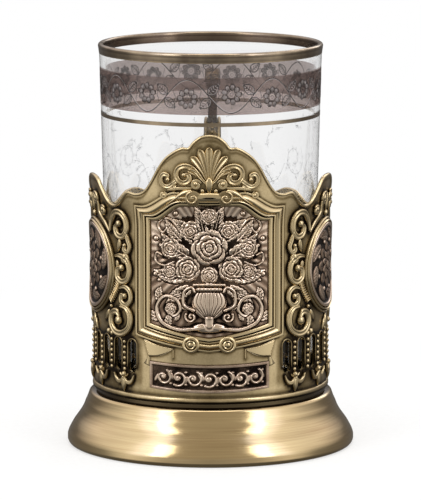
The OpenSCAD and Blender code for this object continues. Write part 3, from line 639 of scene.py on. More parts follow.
def spun_brass():
    """Brass spun on a lathe and brushed while turning: streaks run round it, lightly browned by age."""
    c = colours()
    material, tree, place = new_material("spun brushed brass")
    split = add(tree, "ShaderNodeSeparateXYZ", {"Vector": place})
    angle = add(tree, "ShaderNodeMath", {0: split.outputs["Y"], 1: split.outputs["X"]}, operation="ARCTAN2")
    unrolled = add(tree, "ShaderNodeCombineXYZ", {"X": angle.outputs[0], "Z": split.outputs["Z"]}).outputs[0]
    # Brush lines are about 0.05 mm apart; drawn at 0.25 mm so that they show, and drawn out round the axis
    line_scale, band_scale = (1.2, 1.0, 1 / (0.25 * MM)), (0.8, 1.0, 1 / (3 * MM))
    streak = add(tree, "ShaderNodeVectorMath", {0: unrolled, 1: line_scale}, operation="MULTIPLY")
    lines = add(tree, "ShaderNodeTexNoise", {
        "Vector": streak.outputs[0], "Scale": 1.0, "Detail": 3.0, "Roughness": 0.6}).outputs["Fac"]
    wide = add(tree, "ShaderNodeVectorMath", {0: unrolled, 1: band_scale}, operation="MULTIPLY")
    bands = add(tree, "ShaderNodeTexNoise", {"Vector": wide.outputs[0], "Scale": 1.0, "Detail": 2.0})
    blend = add(tree, "ShaderNodeMath", {0: lines, 1: bands.outputs["Fac"]}, operation="ADD")
    blend = add(tree, "ShaderNodeMath", {0: blend.outputs[0], 1: 0.5}, operation="MULTIPLY")
    mix = ramp_stops(
        add(tree, "ShaderNodeValToRGB", {"Fac": blend.outputs[0]}), (0.36, c.spun_deep), (0.6, c.spun))
    # Painted shadow where the shell stands on the pedestal, from the attribute read here
    patina = add(tree, "ShaderNodeAttribute", attribute_name="patina", attribute_type="GEOMETRY")
    painted_seat_shadow = add(tree, "ShaderNodeMixRGB", {0: patina.outputs["Fac"], 1: mix, 2: c.patina})
    rough = add(tree, "ShaderNodeMapRange", {"Value": lines, "To Min": 0.13, "To Max": 0.2})
    bump = add(tree, "ShaderNodeBump", {"Height": lines, "Strength": 0.3, "Distance": 0.006 * MM})
    shader = add(tree, "ShaderNodeBsdfPrincipled", {
        "Base Color": painted_seat_shadow.outputs["Color"], "Metallic": 1.0, "Roughness": rough.outputs[0],
        "Normal": bump.outputs[0]})
    add(tree, "ShaderNodeOutputMaterial", {"Surface": shader.outputs[0]})
    return material


def tumbler_glass():
    """Thin blown soda glass, clear and colourless."""
    material, tree, place = new_material("blown soda glass")
    # Faint waviness of blown glass, a few millimetres across
    wave = add(tree, "ShaderNodeTexNoise", {"Vector": place, "Scale": 1 / (9 * MM), "Detail": 1.0})
    bump = add(tree, "ShaderNodeBump", {
        "Height": wave.outputs["Fac"], "Strength": 0.08, "Distance": 0.1 * MM})
    shader = add(tree, "ShaderNodeBsdfPrincipled", {
        "Base Color": WHITE, "Roughness": 0.0, "IOR": 1.45, "Transmission Weight": 1.0,
        "Normal": bump.outputs[0]})
    add(tree, "ShaderNodeOutputMaterial", {"Surface": shader.outputs[0]})
    return material


def fired_gilding():
    """Gold paint fired on the glass: thin, with a little wear, and painted shade that makes it warm brown
    where it turns away.
    """
    material, tree, place = new_material("fired gilding")
    wear = add(tree, "ShaderNodeTexNoise", {
        "Vector": place, "Scale": 1 / (5 * MM), "Detail": 4.0}).outputs["Fac"]
    ramp = add(tree, "ShaderNodeValToRGB", {"Fac": wear})
    mix = ramp_stops(ramp, (0.3, linear("#91816C")), (0.7, colours().gilding))
    # Browner where the attribute read here says so: painted shade on the inside, and darker lines under the
    # lip
    patina = add(tree, "ShaderNodeAttribute", attribute_name="patina", attribute_type="GEOMETRY")
    thin = add(tree, "ShaderNodeMixRGB", {0: patina.outputs["Fac"], 1: mix, 2: linear("#55463D")})
    rough = add(tree, "ShaderNodeMapRange", {"Value": wear, "To Min": 0.16, "To Max": 0.28})
    shader = add(tree, "ShaderNodeBsdfPrincipled", {
        "Base Color": thin.outputs["Color"], "Metallic": 1.0, "Roughness": rough.outputs[0]})
    add(tree, "ShaderNodeOutputMaterial", {"Surface": shader.outputs[0]})
    return material


def grey_lustre():
    """Platinum lustre fired thin on the glass: a grey film, browner from inside, that lets light through."""
    material, tree, place = new_material("fired platinum lustre")
    cloud = add(tree, "ShaderNodeTexNoise", {"Vector": place, "Scale": 1 / (8 * MM), "Detail": 3.0})
    ramp = add(tree, "ShaderNodeValToRGB", {"Fac": cloud.outputs["Fac"]})
    tint = ramp_stops(ramp, (0.3, linear("#968C89")), (0.7, colours().lustre))
    # The attribute read here is 1 on the film's inner face
    patina = add(tree, "ShaderNodeAttribute", attribute_name="patina", attribute_type="GEOMETRY")
    face = add(tree, "ShaderNodeMixRGB", {0: patina.outputs["Fac"], 1: tint, 2: linear("#5A4E4A")})
    shader = add(tree, "ShaderNodeBsdfPrincipled", {
        "Base Color": face.outputs["Color"], "Metallic": 1.0, "Roughness": 0.16})
    # The light crosses both faces of the film
    clear = add(tree, "ShaderNodeBsdfTransparent", {"Color": linear("#EFE6E3")})
    both = add(tree, "ShaderNodeMixShader", {0: 0.66, 1: shader.outputs[0], 2: clear.outputs[0]})
    add(tree, "ShaderNodeOutputMaterial", {"Surface": both.outputs[0]})
    return material


def scratched_line(name, shade, roughness):
    """A line cut through a fired coating or into the glass: matt, with the tool's fine chatter in it."""
    material, tree, place = new_material(name)
    chatter = add(tree, "ShaderNodeTexNoise", {"Vector": place, "Scale": 1 / (0.4 * MM), "Detail": 2.0})
    ramp = add(tree, "ShaderNodeValToRGB", {"Fac": chatter.outputs["Fac"]})
    glint = [min(1, 1.35 * v) for v in shade[:3]] + [1]
    mix = ramp_stops(ramp, (0.3, shade), (0.75, glint))
    shader = add(tree, "ShaderNodeBsdfPrincipled", {
        "Base Color": mix, "Metallic": 0.6, "Roughness": roughness})
    add(tree, "ShaderNodeOutputMaterial", {"Surface": shader.outputs[0]})
    return material


def engraved_line():
    """The dark ground that the engraver's tool laid bare in the lustre."""
    return scratched_line("engraved line in lustre", linear("#332C2B"), 0.5)


def engraved_edge():
    """A painted highlight: the bright line beside each engraved line."""
    return scratched_line("burnished edge of the engraving", linear("#C9BFBB"), 0.25)


def etched_line():
    """A line that acid bit into the clear glass."""
    return scratched_line("acid-etched glass line", colours().etching, 0.6)


def screw_steel():
    """Turned bright steel: fine rings from the lathe."""
    material, tree, place = new_material("turned bright steel")
    ring = add(tree, "ShaderNodeTexNoise", {"Vector": place, "Scale": 1 / (0.6 * MM), "Detail": 3.0})
    rough = add(tree, "ShaderNodeMapRange", {"Value": ring.outputs["Fac"], "To Min": 0.25, "To Max": 0.42})
    shader = add(tree, "ShaderNodeBsdfPrincipled", {
        "Base Color": linear("#A7A7A2"), "Metallic": 1.0, "Roughness": rough.outputs[0]})
    add(tree, "ShaderNodeOutputMaterial", {"Surface": shader.outputs[0]})
    return material


# Each finish: its slot in the record, and what makes its material
FINISHES = {
    "brass": ("patinated_brass", struck_brass),
    "copper": ("coppered_plate", coppered_plate),
    "spun": ("brushed_brass", spun_brass),
    "glass": ("clear_glass", tumbler_glass),
    "gilding": ("gilding", fired_gilding),
    "lustre": ("platinum_lustre", grey_lustre),
    "engraving": ("platinum_lustre", engraved_line),
    "painted_glint": ("platinum_lustre", engraved_edge),
    "etching": ("clear_glass", etched_line),
    "steel": ("screw_steel", screw_steel),
}
# Materials made so far, by finish
made_materials = {}


def finish_material(kind):
    """The material of a finish, which is made once."""
    if kind not in made_materials:
        made_materials[kind] = FINISHES[kind][1]()
    return made_materials[kind]


def finish_piece(shape, name, body, kind, *nodes, sharp=None):
    """Makes a shape into a named piece that rides on a body and stands for nodes of the construction."""
    made = shape.object(name, sharp)
    made.data.materials.append(finish_material(kind))
    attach(made, body)
    if nodes:
        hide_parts(*nodes)


# Shell wall, with its slots in two rows: how many in each, degrees between them, width and height
SLOTS, SLOT_PITCH, SLOT_W, SLOT_H = 8, 10.0, 3.2, 10.2
SLOT_LOW = SHELL_Z + 8.4
SLOT_TOP = SLOT_LOW + SLOT_H


def slot_centres():
    """[u, low z, high z] of each slot's axis."""
    angles = sizes().side_angle + (np.arange(SLOTS) - (SLOTS - 1) / 2) * SLOT_PITCH
    ends = (SLOT_LOW + SLOT_W / 2, SLOT_TOP - SLOT_W / 2)
    return [(around(side * angle), *ends) for side in (-1, 1) for angle in angles]


def wall_columns():
    """Places round the shell where the wall's mesh lines stand: close together at the slots."""
    # Spacing at the slots, before them and behind them
    fine, front, back = 0.42, 0.6, 1.6
    start, end = around(sizes().side_angle - 43), around(sizes().side_angle + 43)
    turn = around(180)
    parts = [np.arange(0, start, front), np.linspace(start, end, int((end - start) / fine) + 1)]
    parts.append(np.linspace(end, turn, int((turn - end) / back) + 1)[1:])
    half = np.concatenate(parts)
    return np.concatenate([half, -half[1:-1][::-1]])


def wall_grid():
    """The wall's mesh points: level rows up to a split height, then rows that rise into the crest."""
    u = wall_columns()
    split, margin = SHELL_Z + 47.0, 1.2
    below, over = SLOT_LOW - margin, SLOT_TOP + margin
    lower = [np.arange(SHELL_Z, below, 0.8), np.arange(below, over, 0.4), np.arange(over, split, 0.8)]
    lower = np.concatenate(lower)[:, None] + 0 * u
    upper = split + np.linspace(0, 1, 52)[:, None] * (crest_z(u, RIM_H * 0.5)[None] - split)
    z = np.vstack([lower, upper])
    return np.broadcast_to(u, z.shape).copy(), z


def halo(u, z):
    """Distance of each point of the wall from the edge of the nearest raised form."""
    tree = kdtree.KDTree(len(raised))
    for n, (a, b, _) in enumerate(raised):
        tree.insert((a, b, 0), n)
    tree.balance()
    reach = np.array(raised)[:, 2]
    out = [
        min(distance - reach[i] for _, i, distance in tree.find_n((*point, 0), 6))
        for point in zip(folded(u).reshape(-1), z.reshape(-1))
    ]
    return np.reshape(out, u.shape)


def frame_distance(u, z):
    """Rough distance outward from the front frame's outer edge."""
    grow = sizes().frame_w
    half = sizes().plaque_w / 2 + grow
    x = np.clip(u / half, -1, 1)
    du = np.abs(u) - half
    dz = np.maximum(z - plaque_top(x, grow), plaque_bottom(x, grow) - z)
    return np.where((du > 0) & (dz > 0), np.hypot(du, dz), np.maximum(du, dz))


def wall_tone(u, z):
    """Bright on the open fields, black beside the raised forms, toned towards the sides and the slots."""
    v = np.abs(np.abs(u) - around(sizes().side_angle))
    gap = np.clip(halo(u, z), 0, None)
    at_side = smoothstep((24.5 - v) / 3.0)
    tone = 0.66 - bell(gap, 0.62) * (0.36 + 0.3 * at_side) - (bell(gap, 1.9) * 0.3 + 0.05) * at_side
    slots = smoothstep((SLOT_TOP + 2.0 - z) / 2.0) * smoothstep((z - SLOT_LOW + 5) / 3)
    slots *= smoothstep((27 - v) / 1.5)
    medal = bell(np.clip(np.hypot(v, z - MEDAL_Z) - MEDAL_R - 1.4, 0, None), 1.0)
    rim = bell(crest_z(u) - z - 1.7, 0.45) * 0.35
    foot = bell(z - SHELL_Z - 2.4, 0.7) * 0.5
    edge = bell(frame_distance(u, z) - 0.25, 0.35) * 0.5
    return np.clip(tone - 0.26 * slots - 0.4 * medal - rim - foot - edge, 0, 1)


def pierce(u, z, face):
    """Moves the points on each slot's edge onto its true outline, and returns the faces that are left."""
    slots = slot_centres()
    first_u = u[face[:, :1]]
    middle_u, middle_z = (first_u + folded(u[face] - first_u)).mean(axis=1), z[face].mean(axis=1)
    gone = [
        np.hypot(folded(middle_u - at), middle_z - np.clip(middle_z, low_z, high_z)) < SLOT_W / 2
        for at, low_z, high_z in slots
    ]
    keep = ~np.any(gone, axis=0)
    for (at, low_z, high_z), inside in zip(slots, gone):
        edge = np.intersect1d(face[inside], face[keep])
        axis_z = np.clip(z[edge], low_z, high_z)
        d = np.stack([folded(u[edge] - at), z[edge] - axis_z], axis=1)
        d *= SLOT_W / 2 / np.maximum(np.linalg.norm(d, axis=1, keepdims=True), 1e-6)
        u[edge], z[edge] = at + d[:, 0], axis_z + d[:, 1]
    return face[keep]


def shell_slab(u, z, tone):
    """The pierced wall as one closed sheet: outer and inner skins, joined round every edge."""
    face = quads(*u.shape, wrap=True)
    u, z = u.reshape(-1), z.reshape(-1)
    used, face = np.unique(pierce(u, z, face), return_inverse=True)
    face = face.reshape(-1, 4)
    n = len(used)
    skins = [on_shell(u[used], z[used], out) for out in (0.0, -sizes().wall)]
    edges = np.concatenate([face[:, [k, (k + 1) % 4]] for k in range(4)])
    key = np.sort(edges, axis=1) @ [n, 1]
    _, first, count = np.unique(key, return_index=True, return_counts=True)
    a, b = edges[first[count == 1]].T
    walls = np.stack([b, a, a + n, b + n], axis=1)
    inside_tone = np.full(n, 0.55)
    tones = np.concatenate([tone.reshape(-1)[used], inside_tone])
    return Shape().add(np.vstack(skins), [face, face[:, ::-1] + n, walls], tones)


class HOLDER_OT_shell(bpy.types.Operator):
    """Rolled and pierced shell wall with its crest"""

    bl_idname = "holder.shell"
    bl_label = "Shell wall"

    def execute(self, context):
        u, z = wall_grid()
        shape = shell_slab(u, z, wall_tone(u, z))
        finish_piece(shape, "struck_shell", "holder", "brass", "shell_wall", sharp=50)
        return {"FINISHED"}


# Crest bead and foot bead


def crest_bead(sides=12):
    """A crowned bead along the crest: it stands out on the outer side and is nearly flush inside."""
    half = even(half_crest(12), 420)
    turn = np.array([2 * around(180), 0])
    path = np.vstack([half, turn + half[-2:0:-1] * [-1, 1]])
    normal = normals_2d(np.vstack([path[-1:] - turn, path, path[:1] + turn]))[1:-1]
    a = np.linspace(0, 2 * np.pi, sides, endpoint=False)
    wall = sizes().wall
    down = -RIM_H / 2 + RIM_H / 2 * np.sin(a)
    out = (RIM_OUT + wall) * (np.cos(a) + 1) / 2 - wall
    flat = path[:, None, :] + down[None, :, None] * normal[:, None, :]
    tone = np.clip(0.45 + 0.5 * np.maximum(np.sin(a), np.cos(a) * 0.8), 0.1, 1) * np.ones((len(path), 1))
    faces = quads(len(path), sides, wrap=True, tube=True)[:, ::-1]
    return Shape().add(on_shell(flat[..., 0], flat[..., 1], out[None, :]), [faces], tone)


def foot_bead():
    """A bead ring, with painted light on its upper half and painted shadow, black, on its lower half where it
    meets the pedestal.
    """
    low_z, tall = low("foot_bead", 2), high("foot_bead", 2) - low("foot_bead", 2)
    inner_r = sizes().shell_r - 0.05
    a = np.linspace(-np.pi / 2, np.pi / 2, 14)
    r = inner_r + (high("foot_bead", 0) - inner_r) * np.cos(a)
    # Painted shade: black below the middle, for the shadow gap over the pedestal; above it painted light,
    # brightest on the upper outer side
    tones = np.clip(smoothstep((a + 0.35) / 0.5) * (0.2 + 0.45 * np.cos(a - 0.5)), 0, 1)
    return lathe(np.stack([r, low_z + tall / 2 * (1 + np.sin(a))], axis=1), 240, tones)


class HOLDER_OT_rims(bpy.types.Operator):
    """Rounded bead along the crest and bead ring at the foot"""

    bl_idname = "holder.rims"
    bl_label = "Crest bead and foot bead"

    def execute(self, context):
        finish_piece(crest_bead(), "crest_bead", "holder", "brass", "rim_wire")
        finish_piece(foot_bead(), "foot_bead_ring", "holder", "brass", "foot_bead")
        return {"FINISHED"}


# Frame round the plaque: [share across from the plaque, share of its height, tone]
FRAME_PROFILE = [
    [0, -0.05, 0.1], [0, 0.5, 0.5], [0.02, 0.64, 0.8], [0.1, 0.74, 0.9], [0.19, 0.72, 0.85],
    [0.215, 0.5, 0.15], [0.235, 0.32, 0.0], [0.262, 0.5, 0.2], [0.285, 0.82, 0.9], [0.33, 0.86, 1],
    [0.365, 0.8, 0.8], [0.39, 0.6, 0.25], [0.42, 0.56, 0.5], [0.46, 0.7, 0.8], [0.52, 0.93, 0.95],
    [0.58, 1, 1], [0.65, 0.95, 0.85], [0.72, 0.74, 0.75], [0.79, 0.5, 0.6], [0.83, 0.32, 0.1],
    [0.85, 0.3, 0.1], [0.875, 0.42, 0.8], [0.93, 0.44, 0.85], [0.975, 0.4, 0.7], [1, 0.22, 0.2],
    [1.01, -0.05, 0.0],
]
# Lower volutes and the bosses of the upper ones: [radius in mm, share of the frame's height, tone]
LOWER_VOLUTE = [
    [2.75, -1 / 30, 0], [2.75, 0.55, 0.15], [2.62, 0.95, 0.7], [2.3, 1.14, 1], [1.9, 1.16, 0.9],
    [1.66, 1.02, 0.5], [1.58, 0.84, 0.02], [1.46, 0.84, 0.02], [1.38, 1.04, 0.6], [1.14, 1.16, 1],
    [0.94, 1.1, 0.7], [0.86, 0.9, 0.05], [0.76, 0.88, 0.05], [0.68, 1.04, 0.8], [0.3, 1.2, 1],
]
UPPER_BOSS = [[2.45, -1 / 30, 0], [2.45, 0.7, 0.2], [2.3, 0.9, 0.75], [1.9, 0.98, 0.5], [0.2, 0.98, 0.4]]
UPPER_Z = PLAQUE_SHOULDER_Z + PLAQUE_ARCH + 2.625


def moulding():
    """The stepped moulding, which runs round the plaque's outline."""
    s = sizes()
    profile = np.array(FRAME_PROFILE)
    grid = np.stack([plaque_outline(share * s.frame_w) for share in profile[:, 0]])
    points = on_shell(grid[..., 0], grid[..., 1], profile[:, 1:2] * s.frame_t)
    faces = quads(*grid.shape[:2], wrap=True, tube=True)[:, ::-1]
    return Shape().add(points, [faces], np.broadcast_to(profile[:, 2:], grid.shape[:2]))


def volutes(shape, side):
    """A pair of volutes on the frame: a turned one below, and above one that a strand winds into."""
    s, t = sizes(), sizes().frame_t
    lower = [side * s.plaque_w * 0.148, PLAQUE_Z - PLAQUE_DROP - 2.6 * FRAME_Z_SHARE]
    upper = [side * s.plaque_w * 0.128, UPPER_Z]
    for at, profile, segments in ((lower, LOWER_VOLUTE, 48), (upper, UPPER_BOSS, 40)):
        profile = np.array(profile)
        turned(shape, at, profile[:, :2] * [1, t], segments, profile[:, 2])
    path = spiral(upper, 1.98, 1.4, 90, -side, inner=0.14, count=60)
    strand(shape, path, 0.86 * tapered(len(path), 0.05, 0.05, 0.7), t * 1.36, base=t * 0.85, low_tone=0.05)
    dome(shape, upper, 0.5, t * 1.34, 14, base=t * 0.9)
    # Strand from the frame's shoulder into the volute
    lead = mirrored((0, UPPER_Z), side, [(12.6, -2.3), (10.0, -0.3), (7.4, 1.5), (s.plaque_w * 0.128, 1.98)])
    lead = spline(lead)
    strand(shape, lead, 2.0 * tapered(len(lead), 0.75, 0.1, 0.3), t * 1.1, base=-0.05, low_tone=0.3)


def saddle(shape):
    """The saddle between the upper volutes, with black strands as painted shade: one for its slit and one for
    the shaded hollow under it.
    """
    t = sizes().frame_t
    top = spline([[-3.3, UPPER_Z + 0.05], [0, UPPER_Z + 0.2], [3.3, UPPER_Z + 0.05]])
    strand(shape, top, 3.3, t * 1.05, sides=15)
    slit = even([[-1.9, UPPER_Z + 0.1], [1.9, UPPER_Z + 0.1]], 10)
    hollow = spline([[-3.3, UPPER_Z - 2.15], [0, UPPER_Z - 2.45], [3.3, UPPER_Z - 2.15]])
    # Both strands are black all over: painted shade where the slit and the hollow lie in shadow
    for path, width, height, base in ((slit, 0.62, 1.09 * t, 0.9 * t), (hollow, 1.0, 0.9 * t, ROOT)):
        strand(shape, path, width * tapered(len(path), 0.3, 0.3, 0.3), height, base=base)
        shape.tones[-1][:] = 0.0


class HOLDER_OT_front_frame(bpy.types.Operator):
    """Stepped moulding round the front plaque, with its volutes"""

    bl_idname = "holder.front_frame"
    bl_label = "Front frame"

    def execute(self, context):
        shape = moulding()
        for side in (-1, 1):
            volutes(shape, side)
        saddle(shape)
        finish_piece(shape, "stepped_frame", "holder", "brass", "front_frame", sharp=38)
        return {"FINISHED"}


# Ornaments of one half: strands as (places, width, height, groove, facets, radius and height of the end's
# dome), scrolls as (place, radius, turns, start angle, hand, width, height, groove), leaves as (place,
# length, width, angle, height, bend) and domes as (place, radius, height); ends says how strands taper
PALMETTE = SimpleNamespace(ends=(0.25, 0.2, 0.4))
PALMETTE.strands = [
    # Great C scroll beside the petals: from the base out, over and in again
    ([(0.8, 1.6), (2.2, 3.2), (3.6, 5.0), (5.2, 6.5), (7.3, 7.0), (9.1, 6.2), (9.8, 4.4), (9.2, 2.7),
      (7.8, 1.9), (6.3, 2.3), (5.8, 3.6), (6.5, 4.6), (7.5, 4.3)], 1.9, 1.35, 0.5, 13, (0.85, 1.5)),
    ([(10.0, 3.8), (10.6, 1.9), (12.0, 0.6), (13.8, 0.9), (14.6, 2.6), (13.8, 4.2), (12.4, 3.9), (12.4, 2.7)],
     1.6, 1.15, 0.45, 11, (0.8, 1.3)),
    ([(5.0, 0.4), (7.6, 0.2), (10.2, 0.0), (12.4, -0.4)], 1.2, 1.0, 0.3, 9, None),
]
PALMETTE.scrolls = [
    ((3.7, 1.3), 2.1, 1.3, 160, 1, 1.25, 1.35, 0.3), ((13.9, -2.0), 1.55, 1.25, 120, -1, 0.95, 1.0, 0.25),
]
PALMETTE.leaves = [((11.0, 0.8), 3.4, 1.7, -28, 1.15, -50), ((9.9, 1.2), 2.6, 1.3, 150, 1.0, 30)]
PALMETTE.domes = [((6.3, -0.9), 0.6, 0.9), ((2.0, -0.5), 0.75, 0.95)]
# Fluted petals from the middle outwards: length, width, angle and bend
PETALS = [(10.9, 2.7, 0, 0), (10.7, 2.6, 15, 4), (9.7, 2.6, 31, 9), (7.2, 2.2, 54, 16)]


def petal(shape, root, side, layer, reach, width, angle, bend):
    """A fluted petal that widens to its rounded end; its root leans half as far as its tip."""
    t = np.linspace(0, 1, 26)
    path = bending(root, reach, 90 - side * angle * 0.55, -side * (bend + angle * 0.55), len(t))
    end = np.sqrt(np.clip(1 - ((t - 0.84) / 0.16).clip(0) ** 2, 0.02, 1))
    wide = width * (0.2 + 0.8 * smoothstep(t / 0.9)) * end
    strand(shape, path, wide, 0.45 + 1.1 * smoothstep(t * 1.15) - 0.04 * layer, sides=17, groove=0.55)


def palmette():
    """Petals that lap from the outermost to the middle one, on a leaf between C scrolls."""
    shape = Shape()
    base = np.array([0.0, PLAQUE_SHOULDER_Z + PLAQUE_ARCH + 5.35])
    for layer, (reach, width, angle, bend) in reversed(list(enumerate(PETALS))):
        for side in (1, -1) if layer else (1,):
            root = base + [side * angle * 0.014, 2.0 - angle * 0.01]
            petal(shape, root, side, layer, reach, width, angle, bend)
    leaf(shape, base + [0, 3.6], 5.0, 2.6, 180, 1.45, groove=0.2)
    for side in (-1, 1):
        ornaments(shape, base, side, PALMETTE)
    return shape


class HOLDER_OT_palmette(bpy.types.Operator):
    """Fluted palmette with C scrolls over the front frame"""

    bl_idname = "holder.palmette"
    bl_label = "Crest palmette"

    def execute(self, context):
        finish_piece(palmette(), "fluted_palmette", "holder", "brass", "crest_palmette")
        return {"FINISHED"}


# Scrolls beside and over a medallion, counted from its middle
COLUMN = SimpleNamespace(ends=(0.2, 0.15, 0.45))
COLUMN.strands = [
    # Upper C scroll that opens towards the medallion, and the curl that hangs from it
    ([(12.6, 12.2), (13.2, 15.2), (15.0, 17.9), (17.8, 18.3), (20.0, 16.3), (20.3, 13.2), (18.6, 11.0),
      (16.2, 11.4), (15.4, 13.5), (16.8, 14.8)], 2.2, 1.2, 0.45, 13, (1.2, 1.35)),
    ([(20.2, 12.6), (20.9, 10.2), (21.7, 8.2), (20.9, 6.4), (19.4, 6.9), (19.6, 8.3)],
     1.7, 1.1, 0.3, 11, (0.8, 1.2)),
    # Middle C scroll
    ([(15.4, 4.6), (17.6, 4.9), (20.4, 3.8), (21.6, 1.0), (20.8, -2.0), (18.4, -3.1), (16.2, -1.8),
      (16.4, 0.6), (18.2, 1.2)], 2.1, 1.2, 0.45, 13, (1.25, 1.4)),
    # Lower scroll, and the big open C
    ([(17.4, -5.2), (19.8, -4.6), (21.8, -6.0), (22.0, -8.6), (20.0, -10.2), (18.0, -9.2), (18.2, -7.4),
      (19.6, -7.4)], 1.8, 1.15, 0.35, 11, (1.0, 1.3)),
    ([(17.6, -10.6), (20.4, -11.2), (21.9, -13.8), (21.2, -17.2), (18.2, -19.2), (14.8, -18.8), (12.9, -16.2),
      (13.6, -13.4), (16.0, -12.7), (17.2, -14.2)], 2.3, 1.3, 0.45, 13, None),
]
COLUMN.scrolls = [
    ((19.4, 4.4), 2.3, 1.0, 70, 1, 1.5, 1.1, 0.3), ((8.6, 18.0), 2.1, 1.25, 40, -1, 1.3, 1.1, 0.2),
    ((3.2, 21.2), 2.6, 1.3, 120, 1, 1.4, 1.1, 0.35),
]
COLUMN.leaves = [
    ((12.8, 14.6), 4.6, 1.9, 20, 1.1, 50), ((17.2, 10.2), 4.6, 1.7, 175, 1.0, 40),
    ((16.0, 3.4), 3.0, 1.4, 160, 1.0, 30), ((11.6, -12.6), 4.2, 1.5, 200, 1.0, 30),
    ((0.8, -16.6), 4.0, 1.6, 142, 1.0, 20),
]
COLUMN.domes = [((16.7, -15.3), 1.5, 1.5), ((11.4, -19.3), 0.95, 1.1), ((12.9, -11.3), 0.65, 0.9)]
# Strand that lies along the medallion's ring above it
OVER_MEDALLION = [(5.4, 20.4), (5.0, 17.9), (5.9, 16.2), (9.0, 14.3), (12.3, 11.8)]


def ribbed_bar(shape, centre, side):
    """A flat bar beside the medallion's ring, with ribs across it."""
    bar = spline(mirrored(centre, side, [(16.7, -3.0), (15.3, -6.2), (12.7, -9.6)]), 10)
    strand(shape, bar, 2.1, 0.6, low_tone=0.3)
    for p, q in zip(bar[1::2], bar[2::2]):
        d = (q - p) / np.linalg.norm(q - p)
        reach = 0.95 * np.array([-d[1], d[0]]) + 0.35 * d
        strand(shape, even([p - reach, p + reach], 5), 0.42, 0.95, sides=5, low_tone=0.2)


def scrollwork(centre):
    """All the scrolls, leaves and balls round a medallion, mirrored about its middle."""
    shape = Shape()
    for half in (-1, 1):
        ornaments(shape, centre, half, COLUMN)
        ribbed_bar(shape, centre, half)
        over = spline(mirrored(centre, half, OVER_MEDALLION))
        strand(shape, over, 1.5 * tapered(len(over), 0.2, 0.3, 0.35), 1.05, groove=0.3)
    leaf(shape, centre + [0, -15.4], 5.2, 2.4, 180, 1.15, groove=0.35)
    leaf(shape, centre + [0, 17.0], 5.6, 1.8, 0, 1.0, groove=0.35)
    dome(shape, centre + [0, 16.2], 1.0, 1.1)
    return shape


class HOLDER_OT_side_scrolls(bpy.types.Operator):
    """Columns of scrolls beside each medallion, and the scrolls over it"""

    bl_idname = "holder.side_scrolls"
    bl_label = "Side scrolls"

    def execute(self, context):
        for name, side in (("left", -1), ("right", 1)):
            shape = scrollwork(np.array([side * around(sizes().side_angle), MEDAL_Z]))
            finish_piece(shape, f"scrollwork_{name}", "holder", "brass", f"side_scrolls_{name}")
        return {"FINISHED"}


# Medallion's ring, a rolled edge with a thin inner line and a dark gap beside the plate:
# [distance in from its edge, distance out from the wall, tone]
BEZEL_PROFILE = [
    [-0.05, -0.05, 0], [0, 0.5, 0.3], [0.12, 0.85, 0.6], [0.4, 1.02, 0.7], [0.68, 0.85, 0.3], [0.78, 0.55, 0],
    [0.86, 0.9, 0.5], [1.06, 1.42, 0.95], [1.22, 1.5, 1], [1.38, 1.3, 0.6], [1.44, -0.05, 0],
]


def bezel(centre, segments=160):
    """A medallion's ring."""
    p = np.array(BEZEL_PROFILE)
    a = np.linspace(0, 2 * np.pi, segments, endpoint=False)
    r = (high("medallion_ring_left", 2) - low("medallion_ring_left", 2)) / 2 - p[:, :1]
    points = on_shell(centre[0] + r * np.cos(a), centre[1] + r * np.sin(a), p[:, 1:2])
    faces = quads(len(p), segments, wrap=True, tube=True)
    return Shape().add(points, [faces], np.broadcast_to(p[:, 2:], (len(p), segments)))


def round_plate(centre):
    """A coppered round plate with its struck relief."""
    cell = max(sizes().cell, 0.15)
    reach = MEDAL_R - 0.06
    u = np.linspace(-reach, reach, int(2 * reach / cell))
    v = np.linspace(-1, 1, int(2 * MEDAL_R / cell))[:, None]
    u, z = np.broadcast_arrays(u, v * np.sqrt(MEDAL_R**2 - u**2))
    relief = Relief(u, z)
    draw_medallion(relief)
    inward = MEDAL_R - np.hypot(u, z)
    rim = smoothstep((1.5 - inward) / 0.5) * smoothstep(inward / 0.35)
    relief.h = np.maximum(relief.h, 0.7 * rim)
    tone = np.clip(0.1 + 1.3 * relief.cavity(3) + 0.8 * relief.cavity(9) + 0.6 * relief.h, 0, 0.8)
    shape = Shape()
    plate(shape, u + centre[0], z + centre[1], 0.75 + np.clip(relief.h, -0.3, 0.75), 0.0, tone)
    return shape


class HOLDER_OT_medallions(bpy.types.Operator):
    """Coppered round plates at the sides, each in its raised ring"""

    bl_idname = "holder.medallions"
    bl_label = "Medallions and rings"

    def execute(self, context):
        for name, side in (("left", -1), ("right", 1)):
            centre = (side * around(sizes().side_angle), MEDAL_Z)
            ring, disc = bezel(centre), round_plate(centre)
            finish_piece(ring, f"bezel_{name}", "holder", "brass", f"medallion_ring_{name}", sharp=45)
            finish_piece(disc, f"round_plate_{name}", "holder", "copper", f"medallion_{name}")
        return {"FINISHED"}


def acanthus(relief, root, reach, width, angle, height, bend=0.0, lobes=6):
    """A leaf of ribbed lobes in pairs along a bending midrib; angle in degrees from +u."""
    t = np.linspace(0, 1, 24)
    path = bending(root, reach, angle, bend, len(t), power=1.4)
    body = width * np.sin(np.pi * np.clip(0.12 + 0.86 * t**0.9, 0, 1)) ** 0.7
    relief.stroke(path, body * 0.62 + 0.1, height * 0.8)
    for k in reversed(range(lobes)):
        i = int(1 + 19 * k / lobes)
        size = body[min(i + 3, 23)] * 0.72
        for side in (-1, 1):
            d = ray(angle + bend * t[i] ** 1.4 + side * (46 - 14 * k / lobes)) * size
            n = side * np.array([-d[1], d[0]])
            lobe = spline([path[i], path[i] + d * 0.6 + n * 0.08, path[i] + d - n * 0.18], 4)
            share = np.interp(np.linspace(0, 1, len(lobe)), [0, 0.55, 1], [0.5, 1.0, 0.35])
            relief.stroke(lobe, share * size * 0.62, height)
            relief.line(lobe[1:-2], 0.2, 0.14)
    relief.stroke(path[:-2], 0.42 * np.linspace(1.1, 0.5, 22), height * 1.2, dig=False)


